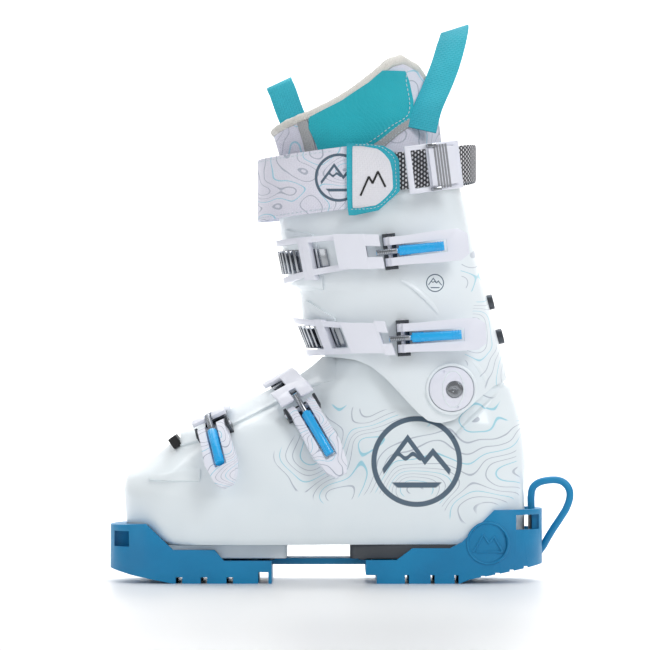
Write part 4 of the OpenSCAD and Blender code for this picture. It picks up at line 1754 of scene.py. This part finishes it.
    def build(self) -> None:
        """Builds the liner's pieces."""
        body = self.skin()
        bake_run(body)
        Paint.LINER.on(body)
        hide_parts("liner_foot", "liner_cuff")
        x, low, high = (v * MM for v in self.ankle)
        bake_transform(body)
        roll = settle(self.roll(), Body.CUFF, Paint.BINDING, "liner_binding")
        tongue = dress("liner_tongue", "tongue_pad", Body.CUFF, Paint.WHITE_CLOTH, 2.2, 4)
        for name, place, sign in (("side_panel_outer", self.side, -1), ("side_panel_inner", self.far_side, 1)):
            pad = settle(self.panel(name, place), Body.CUFF, Paint.TURQUOISE)
            seam = self.edge([(-8.4, 356), (-9.4, 348), (-7, 334), (-8.6, 324), (-19, 317), (-30, 308.5), (-42, 301)],
                             place, 2.4)
            settle(stitches(name + "_stitches", seam, lambda p, s=sign: (0.1, s, 0.05)), Body.CUFF, Paint.THREAD)
            long = [(-30, 301.5), (-26.9, 304.8), (-15.2, 314.6), (-6.9, 320), (1.4, 322), (9, 321)]
            bands = (("_band", long, 7.0, 1.0),
                     ("_strip", [(-81.5, 320), (-79, 312), (-76.5, 303), (-74.5, 292)], 7.5, 0.9))
            for tail, path, wide, thick in bands:
                settle(ribbon(name + tail, path, wide, thick, place), Body.CUFF, Paint.BAND)
            for side, shift in (("low", -2.6), ("high", 2.6)):
                path = [(x, z + shift) for x, z in ((-28, 303), (-15.2, 314.2), (-6.9, 319.6), (1.4, 321.6), (7, 321))]
                row = stitches(f"{name}_band_seam_{side}", self.edge(path, place, 1.0),
                               lambda p, s=sign: (0.1, s, 0.05), 2.8, 0.24)
                settle(row, Body.CUFF, Paint.THREAD)
        run = [(-79, -3.5, 298), (-83, -4.5, 312), (-90, -5.5, 328), (-95, -6, 342), (-97, -5, 346.5),
               (-97.6, -2, 348.3), (-97.6, 1, 348.3), (-97, 4, 346.5), (-95, 5, 342), (-90, 4.5, 328),
               (-83, 3.5, 312), (-79, 3, 298)]
        front = self.loop("front_pull_loop", run, (0.9, 0, 0.42), self.front_size[0])
        settle(front, Body.CUFF, Paint.TURQUOISE_WEB, "front_loop")
        tuple(v * MM for v in self.front_size)
        half = [(1.5, -43.5, 314), (5.5, -40, 329), (12.4, -33, 345), (18.6, -26, 361), (23, -17, 376),
                (24.8, -10, 383), (25.5, -4, 386)]
        rear = self.loop("rear_pull_loop", half + [(x, -y, z) for x, y, z in half[::-1]], (0.95, 0, 0.3),
                         self.rear_size[0])
        settle(rear, Body.CUFF, Paint.TURQUOISE_WEB, "rear_loop")
        tuple(v * MM for v in self.rear_size)


@dataclass
class PowerStrap:
    """Power strap with its tab, webbing, cam buckle and stitching."""

    band_width: float = 43
    band_run: float = 220
    band_thick: float = 2.4
    web_width: float = 26
    web_run: float = 212
    web_thick: float = 1.8
    seam_height: float = 19.6

    def band(self, name: str, t0: float, t1: float, width: float, d0: float, d1: float, n: int = 150,
             wave: float = 0.0) -> bpy.types.Object:
        """A strap round the leg between t0 and t1, with rounded edges.

        Args:
            name: The piece's name.
            t0: Start, as a share of the way round.
            t1: End, as a share of the way round.
            width: Its width.
            d0: Inner face, outside the cuff.
            d1: Outer face, outside the cuff.
            n: Points along.
            wave: Height of its slow waves.

        Returns:
            The closed strap.
        """
        rings = []
        for i in range(n):
            t = t0 + (t1 - t0) * i / (n - 1)
            w = width / 2
            lift = wave * math.sin(t * 60)
            outer = [strap_point(t, h, d1 + lift - (0.35 if abs(h) > w - 0.5 else 0)) for h in np.linspace(-w, w, 11)]
            inner = [strap_point(t, h, d0 + lift) for h in np.linspace(w, -w, 11)]
            rings.append(outer + inner)
        return smooth(grid(name, np.array(rings), closed=True, caps=True), 60)

    def line(self, t0: float, t1: float, h: float, d: float, n: int = 120) -> np.ndarray:
        """Points along the strap at height h."""
        return np.array([strap_point(t, h, d) for t in np.linspace(t0, t1, n)])

    def out(self, p: np.ndarray) -> tuple:
        """Outward direction of the strap at p."""
        return (p[0] - STRAP_MID) / STRAP_LONG**2, p[1] / STRAP_WIDE**2, 0.0

    def tab(self) -> None:
        """The pull tab with its white patch."""
        t_of = {}

        def place(u: float, v: float, h: float) -> Point:
            """A point at x u and height v, h off the strap's outer face.

            Args:
                u: Place along the boot.
                v: Height.
                h: Distance off the strap's outer face.

            Returns:
                The point.
            """
            key = round(u, 3)
            if key not in t_of:
                ts = np.linspace(0.18, 0.33, 400)
                xs = np.array([strap_point(t, 0, 2.6)[0] for t in ts])
                t_of[key] = float(np.interp(u, xs, ts))
            p = strap_point(t_of[key], 0, 2.5 + h)
            return p[0], p[1], v

        rows = [(254.5, -49, -45), (257.8, -49.5, -29), (265.5, -50, -20.7), (271, -50.2, -14.6), (285, -50.4, -14.8),
                (293, -50.4, -15.2), (298.6, -50.4, -19.3), (303.5, -50.4, -28), (304, -50.3, -40)]
        tab = soften(patch("strap_pull_tab", place, rows, 2.0, 40, 30), 0.6, 3, 40)
        settle(tab, Body.CUFF, Paint.TURQUOISE_WEB, "strap_tab")
        rows = [(259.5, -46, -42), (261.5, -46.3, -30), (268, -46.4, -23), (273, -46.4, -19.4), (285, -46.4, -20),
                (292, -46.4, -21.6), (297.5, -46.4, -26), (301.5, -46.4, -32), (302, -46, -40)]
        label = patch("tab_patch", lambda u, v, h: place(u, v, h + 1.9), rows, 0.9, 30, 24)
        settle(soften(label, 0.3, 2, 40), Body.CUFF, Paint.WHITE_CLOTH)
        edge = [(-47.9, 258.6), (-31, 259.8), (-22.2, 266.4), (-17.4, 272.5), (-17.6, 285), (-18.2, 292.4),
                (-21.8, 297.4), (-30, 302.3), (-46, 302.9)]
        pts = np.array([place(x, z, 2.25) for x, z in curve_through(edge, 90)])
        settle(stitches("tab_stitches", pts, self.out, 2.6, 0.24), Body.CUFF, Paint.THREAD)
        peaks = [(-41, 268), (-35.5, 281), (-33, 276.5), (-29.5, 284.5), (-24.5, 274)]
        legs = np.concatenate([np.linspace(a, b, 10) for a, b in zip(peaks[:-1], peaks[1:])])
        line = np.array([place(x, z, 3.0) for x, z in legs])
        mark = sweep("tab_mountain_mark", line, lambda s: oval(0.7, 0.3, 8), (0, 0, 1))
        settle(smooth(mark, 60), Body.CUFF, Paint.SEAL)

    def cam_ribs(self) -> None:
        """Grey ribs on the front half of the cam plate."""
        co = np.array([v.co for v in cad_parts["cam_lever"].data.vertices]) / MM
        e1, e3 = Vector((0.97, 0.2, 0.13)).normalized(), Vector((0.2, -0.97, 0))
        e3 = (e3 - e1 * e3.dot(e1)).normalized()
        e2 = e3.cross(e1)
        loc = co @ np.array((e1, e2, e3)).T
        top, x0 = loc[:, 2].max(), loc[:, 0].min()
        y0, y1 = loc[:, 1].min() + 1.0, loc[:, 1].max() - 1.0
        parts = []
        for k in range(5):
            x = x0 + 4.2 + k * 2.0
            ends = [e1 * x + e2 * y + e3 * (top - 0.15) for y in np.linspace(y0, y1, 6)]
            parts.append(sweep("rib", np.array([tuple(p) for p in ends]), lambda s: oval(0.8, 0.55, 10), e1))
        settle(smooth(join("cam_ribs", parts), 60), Body.CAM, Paint.RIB)

    def build(self) -> None:
        """Builds the strap's pieces."""
        strap = self.band("strap_band", -0.25, 0.236, self.band_width, 0.0, self.band_thick, 190, 0.12)
        settle(strap, Body.CUFF, Paint.STRAP, "power_strap")
        web = self.band("strap_elastic", 0.28, 0.752, self.web_width, 0.0, self.web_thick, 190)
        settle(web, Body.CUFF, Paint.WEBBING, "strap_webbing")
        for side, h in (("low", -self.seam_height), ("high", self.seam_height)):
            seam = self.line(-0.245, 0.215, h, self.band_thick + 0.05)
            row = stitches(f"strap_seam_{side}", seam, self.out, 3.4, 0.24)
            settle(row, Body.CUFF, Paint.THREAD)
        self.tab()
        dress("strap_frame", "strap_buckle_frame", Body.CUFF, Paint.BUCKLE, 0.7)
        dress("strap_pins", "strap_buckle_pins", Body.CUFF, Paint.CHROME, 0.2, 2)
        dress("cam_lever", "cam_plate", Body.CAM, Paint.BUCKLE, 0.5)
        self.cam_ribs()


@dataclass
class WalkingSole:
    """Rubber walking sole pulled over the boot's sole, with its cord handle."""

    badge_at: tuple = (47.3, -40.0, 28.1)
    badge_radius: float = 14.2
    bead_radius: float = 0.9
    cord_radius: float = 2.6

    def ring(self) -> bpy.types.Object:
        """Raised ring and mountain on the heel's outer side.

        Returns:
            The new piece.
        """
        ring = primitive("torus", self.badge_at, QUARTER_X, major_segments=64, minor_segments=10,
                         major_radius=self.badge_radius * MM, minor_radius=self.bead_radius * MM)
        peaks = [(37, 22), (44, 34), (48, 28), (51.5, 32.5), (57.5, 22), (37, 22)]
        line = np.concatenate([np.linspace(a, b, 10)[:-1] for a, b in zip(peaks[:-1], peaks[1:])])
        pts = np.array([(x, self.badge_at[1], z) for x, z in line])
        mountain = sweep("peaks", pts, lambda s: oval(0.8, 0.8, 10), (0, 1, 0))
        return smooth(join("heel_emboss", [ring, mountain]), 60)

    def handle(self) -> bpy.types.Object:
        """The cord handle, round all along its run.

        Returns:
            The new piece.
        """
        path = [(79.2, 48.6), (79.0, 59), (80.6, 65.6), (86, 69.3), (95.2, 70.6), (101.5, 69), (105.4, 64.5),
                (106.2, 58.5), (103.6, 50.5), (98.7, 42.6), (94, 35.5), (90.4, 29.5), (87.6, 24.5), (84.6, 20.5)]
        line = curve_through([(x, 0, z) for x, z in path], 110)
        return smooth(sweep("sole_handle", line, lambda s: oval(self.cord_radius, self.cord_radius, 20), (0, 1, 0)), 60)

    def build(self) -> None:
        """Builds the sole's pieces."""
        dress("sole_protector", "walking_sole", Body.BOOT, Paint.RUBBER, 0.9, 3)
        settle(self.handle(), Body.BOOT, Paint.RUBBER, "protector_handle")
        settle(self.ring(), Body.BOOT, Paint.RUBBER)


BUCKLES = (
    BuckleSet("upper", Body.CUFF, (-20.7, -62.8, 229.6), (0.9945, 0, 0.1045), (0, -1, 0)),
    BuckleSet("lower", Body.CUFF, (-11.7, -58.8, 170.2), (0.998, 0, 0.06), (0, -1, 0)),
    BuckleSet("instep", Body.BOOT, (-81.4, -44.2, 121.9), (0.47, -0.27, -0.8), (-0.1, -0.9, 0.42)),
    BuckleSet("toe", Body.BOOT, (-142.8, -37, 106.7), (0.2, -0.68, -0.7), (-0.39, -0.72, 0.58)),
)


@dataclass
class Studio:
    """Pale seamless floor, soft lights and the camera, in metres."""

    middle: tuple = (-0.06, 0, 0.18)
    camera_at: tuple = (-65.55 * MM, -3.05, 179.2 * MM)
    lens: float = 240.8
    ambient: float = 0.4

    def floor(self) -> None:
        """A pale sweep under and behind the boot."""
        bend = [(1.2 + 1.4 * math.sin(a), 1.4 - 1.4 * math.cos(a)) for a in np.linspace(0, math.pi / 2, 16)[1:]]
        profile = [(-6.0, 0.0), (1.2, 0.0)] + bend + [(2.6, 5.0)]
        rings = np.array([[(x * 1000, y * 1000, z * 1000) for y, z in profile] for x in np.linspace(-6, 6, 5)])
        floor = smooth(grid("studio_floor", rings), 60)
        mat = bpy.data.materials.new("studio_white")
        mat.use_nodes = True
        bsdf = next(n for n in mat.node_tree.nodes if n.type == "BSDF_PRINCIPLED")
        bsdf.inputs["Base Color"].default_value = (0.9, 0.905, 0.91, 1)
        bsdf.inputs["Roughness"].default_value = 0.35
        floor.data.materials.append(mat)

    def light(self, name: str, at: Point, to: Point, size: float, power: float) -> None:
        """A soft area light aimed at a point, in metres.

        Args:
            name: The light's name.
            at: Its place.
            to: The point that it faces.
            size: Its side.
            power: Its power in watts.
        """
        data = bpy.data.lights.new(name, "AREA")
        data.shape, data.size, data.energy = "SQUARE", size, power
        obj = bpy.data.objects.new(name, data)
        bpy.context.scene.collection.objects.link(obj)
        obj.location = at
        obj.rotation_euler = (Vector(to) - Vector(at)).to_track_quat("-Z", "Y").to_euler()

    def build(self) -> None:
        """Sets up the studio."""
        self.floor()
        world = bpy.context.scene.world or bpy.data.worlds.new("World")
        bpy.context.scene.world = world
        world.use_nodes = True
        world.node_tree.nodes["Background"].inputs[0].default_value = (1, 1, 1, 1)
        world.node_tree.nodes["Background"].inputs[1].default_value = self.ambient
        self.light("key", (1.1, -1.5, 1.3), self.middle, 0.8, 15)
        self.light("fill", (-1.5, -1.3, 0.7), self.middle, 1.2, 5)
        self.light("top", (0.1, 0.2, 1.9), self.middle, 1.4, 11)
        self.light("back", (0, 0.9, 1.6), (0, 2.4, 0.3), 2.2, 60)
        bpy.context.scene.view_settings.view_transform = "Standard"
        cam = bpy.data.cameras.new("camera")
        cam.lens, cam.sensor_width, cam.clip_end = self.lens, 36.0, 50.0
        obj = bpy.data.objects.new("camera", cam)
        bpy.context.scene.collection.objects.link(obj)
        obj.location = self.camera_at
        obj.rotation_euler = (math.pi / 2, 0, 0)
        bpy.context.scene.camera = obj


def main() -> None:
    """Builds the boot, the studio and the camera."""
    logging.basicConfig(level=logging.INFO)
    for part in (Shell(), Cuff(), Liner(), PowerStrap(), WalkingSole()) + BUCKLES:
        part.build()
        LOG.info("built %s", type(part).__name__)
    dress("shell_rivets", "shell_rivet_heads", Body.BOOT, Paint.CHROME, 0.25, 2)
    dress("cuff_rivets", "cuff_rivet_heads", Body.CUFF, Paint.CHROME, 0.25, 2)
    Studio().build()


if __name__ == "__main__":
    main()
